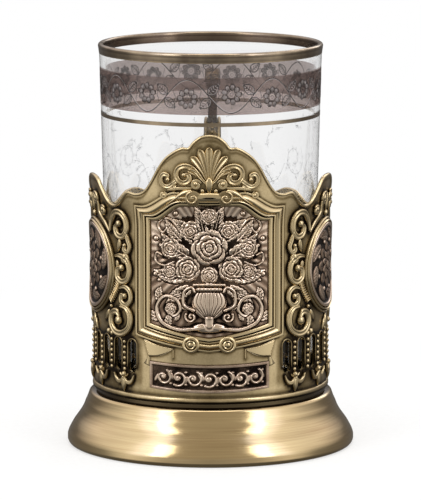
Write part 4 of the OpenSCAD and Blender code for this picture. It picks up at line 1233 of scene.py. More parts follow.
def big_leaf(relief, root, reach, width, angle, height, bend=0.0):
    """A broad leaf with a midrib and ribs cut into it; angle in degrees from +u."""
    t = np.linspace(0, 1, 20)
    path = bending(root, reach, angle, bend, len(t))
    wide = width * np.sin(np.pi * np.clip(0.06 + 0.94 * t**0.8, 0, 1)) ** 0.85 + 0.12
    relief.stroke(path, wide, height)
    relief.line(path, 0.22, 0.22)
    n = normals_2d(path)
    for k in range(3, 17, 3):
        for side in (-1, 1):
            end = path[k + 3] + side * n[k] * wide[k] * 0.42
            relief.line(even([path[k], end], 5), 0.16, 0.14)


def draw_medallion(relief):
    """A generic rosette of broad rimmed petals in a wreath of large leaves and berries."""
    for angle in range(0, 360, 45):
        big_leaf(relief, ray(angle) * 8.6, 6.4, 3.4, angle + 66, 0.62, 40)
        relief.drop(ray(angle + 21) * 7.9, 0.75, 0.75, 0, 0.6)
    for turn, radius, long, wide, lift in ((0, 4.5, 2.7, 1.75, 0.5), (22.5, 2.5, 1.9, 1.2, 0.68)):
        for angle in np.arange(0, 360, 45) + turn:
            d = ray(angle)
            relief.drop(d * radius, long, wide, angle, lift, rim=0.2)
            relief.line(even([d * (radius - long * 0.6), d * (radius + long * 0.6)], 6), 0.3, 0.18)
    relief.drop((0, 0), 1.4, 1.4, 0, 0.75)


# Whorls of a blossom from the outside in: share of its radius, petals, half their span, share of their width
WHORLS = [(0.8, 6, 38, 0.36), (0.55, 5, 44, 0.3), (0.33, 4, 52, 0.24), (0.15, 2, 80, 0.16)]


def rose(relief, at, radius, height, turn):
    """A full blossom: curled petals that lap over each other, whorl within whorl, round a bud."""
    at = np.asarray(at, float)
    relief.drop(at, radius, radius, 0, height * 0.55)
    x = np.linspace(-1, 1, 9)
    for layer, (share, count, span, wide) in enumerate(WHORLS):
        body = radius * wide * (0.35 + 0.65 * np.cos(1.2 * x))
        for k in range(count):
            a = turn + 29 * layer + k * 360 / count
            arc = at + [radius * share * (1 - 0.16 * s**2) * ray(a + s * span) for s in x]
            relief.stroke(arc, body, height * (0.5 + 0.17 * layer), base=height * 0.08 * layer)
            crease = [at + radius * (share - 0.12) * ray(a), at + radius * (share + 0.1) * ray(a)]
            relief.line(even(crease, 4), 0.16, 0.12)
    relief.drop(at, radius * 0.11, radius * 0.11, 0, height * 1.2)


# Bouquet, with places from the middle of the plaque's lower edge: leaves as (place, length, width, angle,
# bend), tendrils as (places, width), berries as (place, radius)
BOUQUET_LEAVES = [
    ((6.0, 25.0), 11.6, 4.4, 26, 34), ((7.0, 19.0), 10.6, 4.2, -2, 26), ((3.6, 29.0), 10.6, 4.2, 56, -26),
    ((5.4, 15.6), 9.4, 3.6, -26, -16), ((1.6, 32.0), 9.2, 3.4, 80, -16), ((8.6, 30.0), 8.0, 3.2, 42, 30),
]
TENDRILS = [
    ([(9, 33), (11.6, 36.4), (14.6, 36.6), (15.9, 34.2), (14.4, 32.4), (12.9, 33.8)], 0.7),
    ([(11, 23.4), (14.2, 22.2), (16.8, 23.6), (16.4, 26.0), (14.8, 25.4)], 0.6),
]
BERRIES = [
    ((16.7, 30.4), 0.75), ((15.2, 28.3), 0.6), ((10.2, 38.4), 0.7), ((16.9, 19.4), 0.7), ((15.6, 17.6), 0.55),
]
# Scrolling stem along the lower edge, and its leaves: point along it, length and turn
LOWER_STEM = [
    (1.2, 3.4), (5.0, 2.8), (10.0, 2.6), (14.8, 4.8), (16.4, 9.0), (14.0, 12.6), (10.2, 12.0), (8.8, 8.8),
    (10.8, 6.8), (12.8, 8.2),
]
STEM_LEAVES = [
    (14, 4.4, -52), (26, 4.8, -48), (36, 4.4, -50), (45, 4.0, -50), (20, 4.0, 58), (52, 3.0, -48),
    (60, 2.6, -44),
]
URN_EAR = [(4.6, 8.6), (7.6, 10.2), (7.6, 14.2), (5.4, 15.8), (4.4, 14.4)]


def draw_sprays(relief, base, side):
    """Leaves, tendrils and berries behind the flowers, and the scrolling stem, on one side of the urn."""
    for place, reach, width, angle, bend in BOUQUET_LEAVES:
        angle = angle if side > 0 else 180 - angle
        acanthus(relief, mirrored(base, side, place), reach, width, angle, 0.62, side * bend)
    for places, width in TENDRILS:
        relief.stroke(spline(mirrored(base, side, places)), width, 0.55)
    for place, radius in BERRIES:
        relief.drop(mirrored(base, side, place), radius, radius, 0, 0.6)
    stem = spline(mirrored(base, side, LOWER_STEM))
    for i, size, turn in STEM_LEAVES:
        d = stem[i + 1] - stem[i]
        heading = math.degrees(math.atan2(d[1], d[0])) + side * turn
        acanthus(relief, stem[i], size, size * 0.52, heading, 0.5, side * 50, lobes=4)
    relief.stroke(stem, np.linspace(1.3, 0.8, len(stem)), 0.75)
    relief.line(stem, 0.2, 0.2)
    rose(relief, mirrored(base, side, (11.9, 8.9)), 1.9, 0.7, 10)
    curl = spiral(mirrored(base, side, (5.6, 6.6)), 1.7, 1.3, 90 - side * 60, -side, inner=0.18, count=40)
    relief.stroke(curl, 0.7, 0.6)


def draw_urn(relief, base):
    """An urn with its foot, fluted body, neck and two ears."""
    relief.drop(base + [0, 3.2], 5.0, 1.5, 0, 0.62)
    relief.drop(base + [0, 5.6], 1.4, 2.4, 0, 0.7)
    relief.drop(base + [0, 10.9], 5.2, 5.0, 0, 1.0, flat=0.62)
    for k in range(-4, 5):
        relief.line(spline(mirrored(base, k, [(0.35, 6.6), (1.22, 10.9), (0.95, 14.4)])), 0.3, 0.26)
    for half, y, width, height in ((3.3, 15.2, 1.4, 0.9), (4.6, 16.6, 1.0, 1.0)):
        relief.stroke(even([base + [-half, y], base + [half, y]], 12), width, height)
    for k in range(-3, 4):
        relief.line(even(mirrored(base, k, [(1.1, 14.6), (1.1, 15.7)]), 4), 0.22, 0.2)
    for side in (-1, 1):
        relief.stroke(spline(mirrored(base, side, URN_EAR)), 1.0, 0.8)


def draw_plaque(relief, low_z):
    """A generic bouquet of roses and leaves in a fluted urn, over scrolling acanthus."""
    u, z = relief.u, relief.z - low_z
    base = np.array([0, low_z])
    # Uneven beaten ground, with faint chased rays behind the bouquet
    relief.h += 0.05 * np.sin(u * 0.55 + 1.3) * np.cos(z * 0.34)
    relief.h += 0.06 * np.cos(52 * np.arctan2(z - 27, u)) * smoothstep((np.hypot(u, z - 27) - 8) / 3)
    for side in (-1, 1):
        draw_sprays(relief, base, side)
    draw_urn(relief, base)
    # Blossoms, the largest in the middle
    for side in (-1, 1):
        rose(relief, base + [side * 5.7, 33.0], 3.4, 0.8, 20)
        rose(relief, base + [side * 11.9, 27.6], 3.3, 0.75, 50)
        rose(relief, base + [side * 12.0, 20.4], 2.7, 0.72, 10)
        rose(relief, base + [side * 6.5, 21.4], 4.1, 0.88, 5 + 30 * side)
    for y, radius, height, turn in ((37.6, 2.7, 0.75, 15), (28.0, 5.8, 0.95, 12), (19.4, 2.8, 0.85, 30)):
        rose(relief, base + [0, y], radius, height, turn)


def front_plate():
    """The plaque in its outline, with its relief flattened at its very edge."""
    s = sizes()
    half = s.plaque_w / 2
    x = np.linspace(-1, 1, int(s.plaque_w / s.cell))
    bottom, top = plaque_bottom(x), plaque_top(x)
    v = np.linspace(0, 1, int((top.max() - bottom.min()) / s.cell))[:, None]
    u, z = np.broadcast_arrays(half * x, bottom + v * (top - bottom))
    relief = Relief(u, z)
    draw_plaque(relief, bottom.min())
    edge = np.minimum(half - np.abs(u), np.minimum(z - bottom, top - z))
    relief.h *= smoothstep(edge / 0.5)
    # Polished on the high relief, black close beside it, and toned on the open ground
    tone = 0.44 + 1.7 * relief.cavity(3) + 2.3 * relief.cavity(9) + 0.25 * np.clip(relief.h, 0, 1)
    tone += 0.22 * smoothstep((z - bottom - 24) / 7)
    tone = np.clip(tone, 0, 1) * (0.25 + 0.75 * smoothstep(edge / 0.4))
    shape = Shape()
    plate(shape, u, z, 0.4 + np.clip(relief.h, -0.35, 0.95), 0.0, tone)
    return shape


class HOLDER_OT_plaque(bpy.types.Operator):
    """Coppered plaque on the front with its struck relief"""

    bl_idname = "holder.plaque"
    bl_label = "Front plaque"

    def execute(self, context):
        finish_piece(front_plate(), "struck_plaque", "holder", "copper", "plaque")
        return {"FINISHED"}


# Lower plate: half its width, its lower edge and its height, how far its edges bow, its mesh's cell
LOWER_HALF, LOWER_Z, LOWER_H, LOWER_BOW, LOWER_CELL = 18.8, SHELL_Z + 4.6, 8.4, 1.0, 0.13
# Folded flap that rises beside the plate to a point, and the swallow tail under it: lower and upper edges
FLAP = [
    [(0.4, 9.6), (-2.4, 9.9), (-5.0, 10.9), (-7.6, 12.4)],
    [(2.1, 14.8), (-0.6, 13.9), (-3.6, 13.0), (-7.6, 12.5)],
]
TAIL = [[(0.1, 6.6), (1.2, 6.9), (2.4, 7.4)], [(0.1, 9.8), (0.9, 9.7), (1.3, 8.9)]]


def draw_running_scroll(relief, half, tall, count=7):
    """A wave scroll with blossoms and leaves, as tall as the plate's field allows."""
    pitch = 2 * half / count
    for k in range(count):
        c = np.array([-half + pitch * (k + 0.5), 0.0])
        up = 1 if k % 2 else -1
        path = spiral(c, tall, 1.3, 90 * up + 150, up, inner=0.18, count=40)
        relief.stroke(path, 0.85, 0.6, dig=False)
        relief.drop(c, 0.85, 0.85, 0, 0.6, dig=False)
        for side in (-1, 1):
            place = c + [side * pitch * 0.46, -up * side * tall * 0.25]
            relief.drop(place, 1.5, 0.6, 60 * up * side, 0.55, rim=0.12, dig=False)
            relief.drop(c + [pitch * 0.5, side * tall * 0.78], 0.5, 0.38, 0, 0.5, dig=False)


def lower_plate():
    """The plate under the plaque, with its border and its running scroll on a black ground."""
    x = np.linspace(-1, 1, int(2 * LOWER_HALF / LOWER_CELL))
    bow = LOWER_BOW * (1 - x * x)
    bottom, top = LOWER_Z - bow, LOWER_Z + LOWER_H - 0.6 * bow
    v = np.linspace(0, 1, int(LOWER_H / LOWER_CELL))[:, None]
    u, z = np.broadcast_arrays(LOWER_HALF * x, bottom + v * (top - bottom))
    relief = Relief(u, z - (bottom + top) / 2)
    draw_running_scroll(relief, LOWER_HALF - 2.2, 2.45)
    edge = np.minimum(LOWER_HALF - np.abs(u), np.minimum(z - bottom, top - z))
    border = smoothstep((1.05 - edge) / 0.18) * smoothstep(edge / 0.15)
    relief.h = np.maximum(relief.h, 0.55 * border)
    tone = np.where(relief.h > 0.12, 0.3 + 0.7 * relief.h - 0.2 * border, 0.04)
    tone = np.clip(tone, 0, 1) * (0.3 + 0.7 * smoothstep(edge / 0.2))
    shape = Shape()
    plate(shape, u, z, 0.45 + np.clip(relief.h, -0.1, 0.6), 0.0, tone)
    return shape


def ribbon_end(shape, side):
    """The ribbon's folded end at one side of the plate, with its rolled edges."""
    corner = (side * LOWER_HALF, LOWER_Z)
    flap = [spline(mirrored(corner, side, edge), 6) for edge in FLAP]
    tail = [mirrored(corner, side, edge) for edge in TAIL]
    across = np.linspace(0, 1, 9)[:, None]
    for (lower, upper), tall in ((flap, 0.5), (tail, 0.34)):
        grid = lower + across[:, :, None] * (upper - lower)
        rise = np.linspace(1, 0.7, len(lower)) * tall
        # Every grid runs towards +u, so that its faces look outward
        if grid[0, -1, 0] < grid[0, 0, 0]:
            grid, rise = grid[:, ::-1], rise[::-1]
        tone = np.clip(0.25 + 4.4 * np.minimum(across, 1 - across), 0, 0.85)
        tone, rise = np.broadcast_to(tone, grid.shape[:2]), np.broadcast_to(rise, grid.shape[:2])
        plate(shape, grid[..., 0], grid[..., 1], rise, -0.05, tone)
    strand(shape, flap[1], 0.42, 0.62, sides=7, low_tone=0.3)
    strand(shape, even([flap[0][0], flap[1][0]], 10), 0.4, 0.6, sides=7, low_tone=0.3)
    fold = mirrored(corner, side, [(-7.6, 12.5), (-7.6, 9.4)])
    strand(shape, even(fold, 10), 0.36, 0.4, sides=7)
    under = mirrored(corner, side, [(-7.6, 12.5), (-5.0, 10.8), (-2.4, 9.9), (0.4, 9.6)])
    strand(shape, spline(under), 0.36, 0.42, sides=7)


class HOLDER_OT_nameplate(bpy.types.Operator):
    """Small coppered plate under the plaque with a running scroll, and its folded ribbon"""

    bl_idname = "holder.nameplate"
    bl_label = "Lower plate and ribbon"

    def execute(self, context):
        finish_piece(lower_plate(), "lower_plate", "holder", "copper", "nameplate")
        ribbon = Shape()
        for side in (-1, 1):
            ribbon_end(ribbon, side)
        finish_piece(ribbon, "folded_ribbon", "holder", "brass", "nameplate_ribbon")
        return {"FINISHED"}


# Beads between the slots, and fleurs below them
BEADS, BEAD_R = 6, 0.65
FLEUR_ARM = [(0.2, -1.0), (1.3, -2.4), (2.6, -2.5), (3.7, -1.5), (4.3, -0.1)]
FLEUR_STALK = [(0.4, -0.6), (1.2, -0.5), (1.8, 0.2)]


def fleur(shape, at):
    """A three-leaved fleur: a broad drop between two leaves that curl up like an anchor."""
    leaf(shape, at - [0, 0.9], 4.6, 2.2, 180, 1.25, groove=0.2)
    for side in (-1, 1):
        arm = spline(mirrored(at, side, FLEUR_ARM))
        share = np.interp(np.linspace(0, 1, len(arm)), [0, 0.35, 0.6, 1], [0.45, 1, 0.9, 0.12])
        strand(shape, arm, 1.55 * share, 1.1, groove=0.2, sides=11)
        stalk = spline(mirrored(at, side, FLEUR_STALK))
        strand(shape, stalk, 0.7 * tapered(len(stalk), 0.3, 0.4, 0.3), 0.7)
    dome(shape, at - [0, 0.1], 0.95, 1.25)


def slot_lip(shape, at, low_z, high_z):
    """A rounded lip up both sides of a slot and round its top."""
    arch = oval((at, high_z), SLOT_W / 2 + 0.34, SLOT_W / 2 + 0.34, 0, 29)[:15]
    ends = arch[[0, -1]]
    ends[:, 1] = low_z
    path = even(np.vstack([ends[:1], arch, ends[1:]]), 48)
    strand(shape, path, 0.5 * tapered(48, 0.1, 0.1, 0.3), 0.22, sides=7, low_tone=0.05)
    shape.tones[-1] *= 0.45


def slot_ornaments(beads, fleurs, side):
    """Strings of beads between a side's slots, each with a ball over it or a fleur below it in turn."""
    for i in range(SLOTS - 1):
        u = around(side * (sizes().side_angle + (i - (SLOTS - 2) / 2) * SLOT_PITCH))
        for k in range(BEADS):
            dome(beads, (u, SLOT_LOW + SLOT_H * (k + 0.5) / BEADS), BEAD_R, 0.62 + 0.1 * (k % 2), 18)
        if i % 2:
            dome(beads, (u, SLOT_TOP + 1.1), 0.75, 0.7, 18)
        else:
            fleur(fleurs, np.array([u, SLOT_LOW - 0.6]))


class HOLDER_OT_beads(bpy.types.Operator):
    """Strings of beads between the slots, slot rims and the fleurs below"""

    bl_idname = "holder.beads"
    bl_label = "Beads and fleurs"

    def execute(self, context):
        beads, fleurs = Shape(), Shape()
        for side in (-1, 1):
            slot_ornaments(beads, fleurs, side)
        fleurs.tones = [0.8 * tone for tone in fleurs.tones]
        for slot in slot_centres():
            slot_lip(beads, *slot)
        finish_piece(beads, "bead_strings", "holder", "brass", "bead_columns")
        finish_piece(fleurs, "three_leaved_fleurs", "holder", "brass", "fleurs")
        return {"FINISHED"}


# Pedestal outline, as in the construction: shares of its largest radius and of the deck's height
PEDESTAL_SHARES = [
    [0.832, 0.985], [0.845, 0.955], [0.853, 0.9], [0.864, 0.823], [0.876, 0.753], [0.887, 0.676],
    [0.902, 0.6], [0.919, 0.529], [0.94, 0.453], [0.96, 0.376], [0.976, 0.3], [0.991, 0.224],
    [1, 0.147], [1, 0.076], [0.989, 0.02], [0.971, 0],
]
DECK_Z, SEAT_R, SEAT_W, SHEET, BORE_R = 17.0, 36.1, 3.0, 1.2, 2.6


def pedestal_outline():
    """Section of the pedestal: its spun wall and its deck, with the ring that seats the shell."""
    side = spline(np.array(PEDESTAL_SHARES) * [FOOT_R, DECK_Z], 4)
    side[:, 0] = np.minimum(side[:, 0], FOOT_R)
    inside = side[6:-8] - [SHEET * 1.1, SHEET * 0.35]
    inside[:, 1] = np.minimum(inside[:, 1], DECK_Z - SHEET)
    seat = [[BORE_R, DECK_Z], [SEAT_R - SEAT_W, DECK_Z], [SEAT_R - SEAT_W, SHELL_Z], [SEAT_R, SHELL_Z],
            [SEAT_R, DECK_Z + 0.1], [SEAT_R + 0.2, DECK_Z]]
    foot = [[FOOT_R * 0.971 - SHEET, 0.0]]
    outward = np.vstack([seat, side, foot, inside[::-1], [[BORE_R, DECK_Z - SHEET]]])
    return outward[::-1]


class HOLDER_OT_pedestal(bpy.types.Operator):
    """Spun pedestal with its deck and the seat of the shell"""

    bl_idname = "holder.pedestal"
    bl_label = "Pedestal"

    def execute(self, context):
        profile = pedestal_outline()
        # The shell's shadow line, painted: dark shade on the seat and just outside it
        tones = 0.16 + 0.84 * smoothstep((profile[:, 0] - SEAT_R - 1.2) / 0.35)
        finish_piece(lathe(profile, tone=tones), "spun_pedestal", "holder", "spun", "pedestal", sharp=40)
        return {"FINISHED"}


# Handle in the plane x = 0: shares of its reach and of the loop's height, as in the construction
LOOP_SHARES = [
    [-0.01, 0.5], [0.1, 0.515], [0.21, 0.6], [0.34, 0.79], [0.52, 0.945], [0.74, 0.96], [0.9, 0.84],
    [0.96, 0.64], [0.9, 0.42], [0.72, 0.23], [0.49, 0.11], [0.26, 0.05], [0.1, 0.04], [-0.01, 0.04],
]
STEM_SHARES = [[0.5, 0.93], [0.6, 1.0], [0.67, 1.07], [0.69, 1.14], [0.66, 1.218]]
CURL_SHARES = [[0.78, 1.19], [0.71, 1.22], [0.62, 1.215], [0.575, 1.18], [0.6, 1.14]]
REACH, LOOP_H, LOOP_LOW, THUMB_STRETCH = 43.0, 64.0, SHELL_Z + 13.0, 15 / 0.22
STRAP_W, STRAP_T, STEM_W = 5.8, 3.4, 3.0
PAD_H, PAD_W, PAD_T = 6.5, 6.0, 1.6
PAD_HEIGHTS = [LOOP_LOW + share * LOOP_H for share in (0.04, 0.5)]
# One half of the strap's section, with rounded edges and a sunk channel on its outer face:
# [share across, share of thickness, tone]; the other half mirrors it
HALF_STRAP = [
    [1, -0.4, 0.5], [1, 0.4, 0.6], [0.96, 0.8, 0.8], [0.86, 1, 1], [0.7, 1, 0.9], [0.6, 0.82, 0.4],
    [0.56, 0.62, 0.05], [0.2, 0.58, 0.2],
]
# The strap's inner face, which looks into the loop, is dark with painted shade
UNDER_STRAP = [[-0.95, -0.8, 0.3], [-0.8, -1, 0.15], [0, -1, 0.08], [0.8, -1, 0.15], [0.95, -0.8, 0.3]]
STRAP_SECTION = HALF_STRAP + [[-x, y, tone] for x, y, tone in HALF_STRAP[::-1]] + UNDER_STRAP
# A mount pad, from its edge inwards: [share of its outline, share of its thickness, tone]
PAD_PROFILE = [
    [1, -1 / 32, 0], [1, 0.6, 0.5], [0.93, 0.95, 0.95], [0.84, 1, 0.8], [0.78, 0.85, 0.2], [0.72, 0.85, 0.5],
    [0.1, 0.95, 0.6],
]


def round_section(count=16):
    """Round section of the stem and its curl, a little flat at the sides; its tones are painted shade, dark
    all round and lightest away from the glass.
    """
    a = np.linspace(0, 2 * np.pi, count, endpoint=False)
    flat = np.where(np.abs(np.cos(a)) < 0.9, 1, 0.98)
    return np.stack([flat * np.cos(a), np.sin(a), 0.1 - 0.25 * np.sin(a)], axis=1)


def handle_path(shares, count):
    """Even points [y, z] on a curve of the handle; heights over the loop are stretched for the thumb rest."""
    p = np.array(shares)
    y = sizes().shell_r + REACH * p[:, 0]
    z = LOOP_LOW + LOOP_H * np.minimum(p[:, 1], 1) + THUMB_STRETCH * np.maximum(p[:, 1] - 1, 0)
    return even(spline(np.stack([y, z], axis=1), 10), count)


def strap(shape, path, width, thick, section, rubbed=1.0):
    """A strap along a path in the plane x = 0; rubbed scales its tones along it, as painted light and shade.
    """
    n = len(path)
    width, rubbed = np.broadcast_to(width, n), np.broadcast_to(rubbed, n)
    across, depth, tone = np.array(section).T
    x = width[:, None] / 2 * across
    yz = path[:, None] + thick / 2 * depth[:, None] * normals_2d(path)[:, None]
    # The section runs anticlockwise as seen from the path's start, so its faces are turned to look outward
    faces = [f[:, ::-1] for f in capped(n, len(section))]
    shape.add(np.concatenate([x[..., None], yz], axis=-1), faces, rubbed[:, None] * tone)


def bead_on(shape, centre, normal, radius, strength):
    """A small dome on the handle's channel; centre and normal lie in the plane x = 0."""
    a = np.linspace(0, np.pi / 2, 5)[:-1, None]
    b = np.linspace(0, 2 * np.pi, 12, endpoint=False)
    along = np.array([normal[1], -normal[0]])
    x, s = radius * np.cos(a) * np.cos(b), radius * np.cos(a) * np.sin(b)
    out = radius * np.sin(a) + 0 * b
    yz = centre + s[..., None] * along + out[..., None] * normal
    tone = strength * (0.3 + 0.7 * np.sin(a)) + 0 * b
    shape.add(np.concatenate([x[..., None], yz], axis=-1), capped(*x.shape), tone)


def pad(shape, z, count=64):
    """A mount pad: a waisted plate with rounded ends and a bevelled edge, seated on the shell's back."""
    a = np.linspace(0, 2 * np.pi, count, endpoint=False)
    c, s = np.cos(a), np.sin(a)
    u = PAD_W * np.sign(c) * np.abs(c) ** 0.55 * (1 - 0.14 * np.cos(2 * a))
    v = PAD_H * np.sign(s) * np.abs(s) ** 0.55
    p = np.array(PAD_PROFILE)
    points = on_shell(around(180) + p[:, :1] * u, z + p[:, :1] * v, p[:, 1:2] * PAD_T)
    shape.add(points, capped(len(p), count), np.broadcast_to(p[:, 2:], (len(p), count)))


def loop(shape):
    """The handle's loop: a strap with a row of beads in its channel."""
    path = handle_path(LOOP_SHARES, 160)
    normal = normals_2d(path)
    # Painted light and shade: lighter on the faces turned away from the glass, dark on the side that faces
    # the glass
    rubbed = 0.22 + 0.78 * smoothstep((normal[:, 0] + 0.5) / 0.9)
    strap(shape, path, STRAP_W, STRAP_T, STRAP_SECTION, rubbed)
    for k in range(10, 152, 2):
        bead_on(shape, path[k] + normal[k] * STRAP_T / 2 * 0.62, normal[k], 0.62, rubbed[k])


def thumb_rest(shape):
    """The stem that rises from the loop, and the curl at its top."""
    stem_width = STEM_W * np.linspace(1.15, 0.9, 40)
    strap(shape, handle_path(STEM_SHARES, 40), stem_width, STRAP_T * 0.6, round_section())
    curl_width = STRAP_W * 0.9 * tapered(48, 0.15, 0.2, 0.75)
    strap(shape, handle_path(CURL_SHARES, 48), curl_width, STRAP_T * 0.5, round_section())


def rivet_heads():
    """Domed heads of the two rivets in each mount pad."""
    shape = Shape()
    a = np.linspace(0, np.pi / 2, 6)[:-1]
    head = np.stack([1.87 * np.cos(a), PAD_T - 0.05 + np.sin(a)], axis=1)
    for z in PAD_HEIGHTS:
        for offset in (-PAD_H * 0.66, PAD_H * 0.66):
            turned(shape, (around(180), z + offset), head, 28)
    return shape


class HOLDER_OT_handle(bpy.types.Operator):
    """Cast handle with its beaded channel, thumb rest and mount pads"""

    bl_idname = "holder.handle"
    bl_label = "Handle"

    def execute(self, context):
        shape = Shape()
        loop(shape)
        thumb_rest(shape)
        for z in PAD_HEIGHTS:
            pad(shape, z)
        finish_piece(shape, "cast_handle", "holder", "brass", "handle", sharp=50)
        finish_piece(rivet_heads(), "handle_rivet_heads", "holder", "brass")
        return {"FINISHED"}


# Glass, as in the construction
GLASS_FOOT_R, GLASS_BAND_R, GLASS_LIP_R = 32.0, 34.5, 35.0
GLASS_WALL, GLASS_BASE, COAT, GILT_H, BAND_DROP = 1.6, 4.0, 0.05, 3.1, 7.5
LIP_Z, BAND_TOP, GILT_LOW = GLASS_TOP - GLASS_WALL / 2, GLASS_TOP - BAND_DROP, GLASS_TOP - GILT_H
GLASS_STATIONS = np.array([
    [FLOOR_Z, GLASS_FOOT_R], [BAND_TOP, GLASS_BAND_R],
    [GILT_LOW, GLASS_BAND_R + 0.35 * (GLASS_LIP_R - GLASS_BAND_R)], [LIP_Z, GLASS_LIP_R],
])
GLASS_TURN = 2 * math.pi * GLASS_BAND_R


def glass_r(z):
    """Outer radius of the glass at a height."""
    return np.interp(z, *GLASS_STATIONS.T)


def glass_side(heights):
    """Points [radius, height] of the glass's outer side."""
    return np.stack([glass_r(heights), heights], axis=1)


def lip_arc(grow=0.0):
    """Half round of the glass's lip, from its outer to its inner side."""
    a = np.linspace(0, np.pi, 17)
    r = GLASS_WALL / 2
    return np.stack([GLASS_LIP_R - r + (r + grow) * np.cos(a), LIP_Z + (r + grow) * np.sin(a)], axis=1)


def glass_profile():
    """The glass's outline: its hollowed foot, outer side, lip, inner side and base."""
    up = glass_side(np.linspace(FLOOR_Z + 1.5, BAND_TOP, 24))
    last = glass_side(np.linspace(BAND_TOP, LIP_Z, 8)[1:-1])
    # Foot with a shallow hollow under it
    hollow_r = GLASS_FOOT_R * 0.75
    foot = [[0.001, FLOOR_Z + 0.8], [hollow_r, FLOOR_Z + 0.8], [hollow_r + 0.8, FLOOR_Z],
            [GLASS_FOOT_R - 1.5, FLOOR_Z], [GLASS_FOOT_R - 0.45, FLOOR_Z + 0.45]]
    inside = np.vstack([last[::-1], up[::-1]]) - [GLASS_WALL, 0]
    inside = inside[inside[:, 1] > FLOOR_Z + GLASS_BASE + 3.2]
    a = np.linspace(0, np.pi / 2, 8)
    base_z, round_r = FLOOR_Z + GLASS_BASE, 3
    corner = [inside[-1, 0], base_z] + round_r * np.stack([np.cos(a) - 1, 1 - np.sin(a)], axis=1)
    return np.vstack([foot, up, last, lip_arc(), inside, corner, [[0.001, base_z]]])


def coating(node, tones):
    """A fired ring on the glass between the heights of its node in the construction."""
    edges = glass_side(np.array([low(node, 2), high(node, 2)]))
    inner, outer = edges + [0.01, 0], edges + [COAT, 0]
    return lathe([inner[0], outer[0], outer[1], inner[1]], tone=tones)


def gilded_lip():
    """Gilding over the lip and down both sides, with painted highlight along its lower edge and over the top
    of the lip, painted shade on the inner side, and thin darker lines on its outer side.
    """
    side = glass_side(GILT_LOW + np.array([0, 0.3, 0.45, 0.9, 1.5, 1.9, 2.1]))
    outer, inner = (
        np.vstack([side + [grow, 0], lip_arc(grow), side[::-1] - [GLASS_WALL + grow, 0]])
        for grow in (COAT, 0.01)
    )
    # Painted light and shade: bright along the lower edge and over the top of the lip, dark on the inner side
    over = np.interp(np.linspace(0, np.pi, 17), [0, 1.2, 2.0, np.pi], [0.7, 1, 0.8, 0.3])
    gilt_shading = np.concatenate([[1, 1, 0.45, 0.6, 0.8, 0.35, 0.5], over, [0.1, 0.0, 0.25, 0.15, 0.1, 0.0, 0.3]])
    return lathe(np.vstack([outer, inner[::-1]]), tone=np.concatenate([gilt_shading, gilt_shading[::-1]]))


def scored(shape, path, width, out=0.03):
    """A flat fine ribbon on the glass's outer side, along a path of [length round it, height]."""
    path = np.asarray(path, float)
    n = normals_2d(path) * width / 2
    sides = np.stack([path - n, path + n, path - n, path + n], axis=1)
    r = glass_r(sides[..., 1]) + np.array([COAT + out, COAT + out, COAT * 0.9, COAT * 0.9])
    a = sides[..., 0] / GLASS_BAND_R
    points = np.stack([r * np.sin(a), -r * np.cos(a), sides[..., 1]], axis=-1)
    i = np.arange(len(path) - 1)[:, None] * 4
    faces = [i + corners for corners in ([0, 4, 5, 1], [2, 3, 7, 6], [0, 2, 6, 4], [1, 5, 7, 3])]
    ends = [np.array([[0, 1, 3, 2]]), np.array([[0, 2, 3, 1]]) + (len(path) - 1) * 4]
    shape.add(points, faces + ends)


def engraved_flower(dark, bright, eye, turn):
    """A ring of nine hatched petals round an open eye."""
    for angle in turn + 40 * np.arange(9):
        d = ray(angle)
        n = np.array([-d[1], d[0]])
        q = eye + 2.25 * d
        scored(dark, oval(q, 0.93, 0.78, angle, 15), 0.2)
        for j in (-0.42, -0.14, 0.14, 0.42):
            reach = 0.8 * math.sqrt(1 - (j / 0.78) ** 2) * d
            middle, beside = q + j * n, q + (j + 0.14) * n
            scored(dark, even([middle - reach, middle + reach], 3), 0.12)
            scored(bright, even([beside - 0.8 * reach, beside + 0.8 * reach], 3), 0.1, out=0.02)
    scored(dark, oval(eye, 1.12, 1.12, 0, 22), 0.13)
    scored(dark, oval(eye, 0.5, 0.5, 0, 14), 0.13)


def engraved_leaf(dark, bright, root, tip):
    """A pointed leaf with a midrib and hatched veins."""
    along = tip - root
    side = np.array([-along[1], along[0]]) * 0.34
    middle = spline([root, (root + tip) / 2 + 0.12 * side, tip], 6)
    scored(dark, middle, 0.18)
    centre = root + 0.5 * along
    for s in (-1, 1):
        lower, upper = root + 0.3 * along + s * 0.85 * side, root + 0.68 * along + s * 0.75 * side
        edge = spline([root, lower, upper, tip], 6)
        scored(dark, edge, 0.24)
        scored(bright, centre + (edge - centre) * 0.9, 0.12, out=0.02)
        for j in (2, 4, 6, 8, 10):
            q, reach = middle[j], s * 0.72 * side * (1 - abs(j - 5) / 9)
            scored(dark, even([q, q + reach + 0.14 * along], 3), 0.15)
            scored(bright, even([q + 0.06 * along, q + 0.8 * reach + 0.17 * along], 3), 0.1, out=0.02)


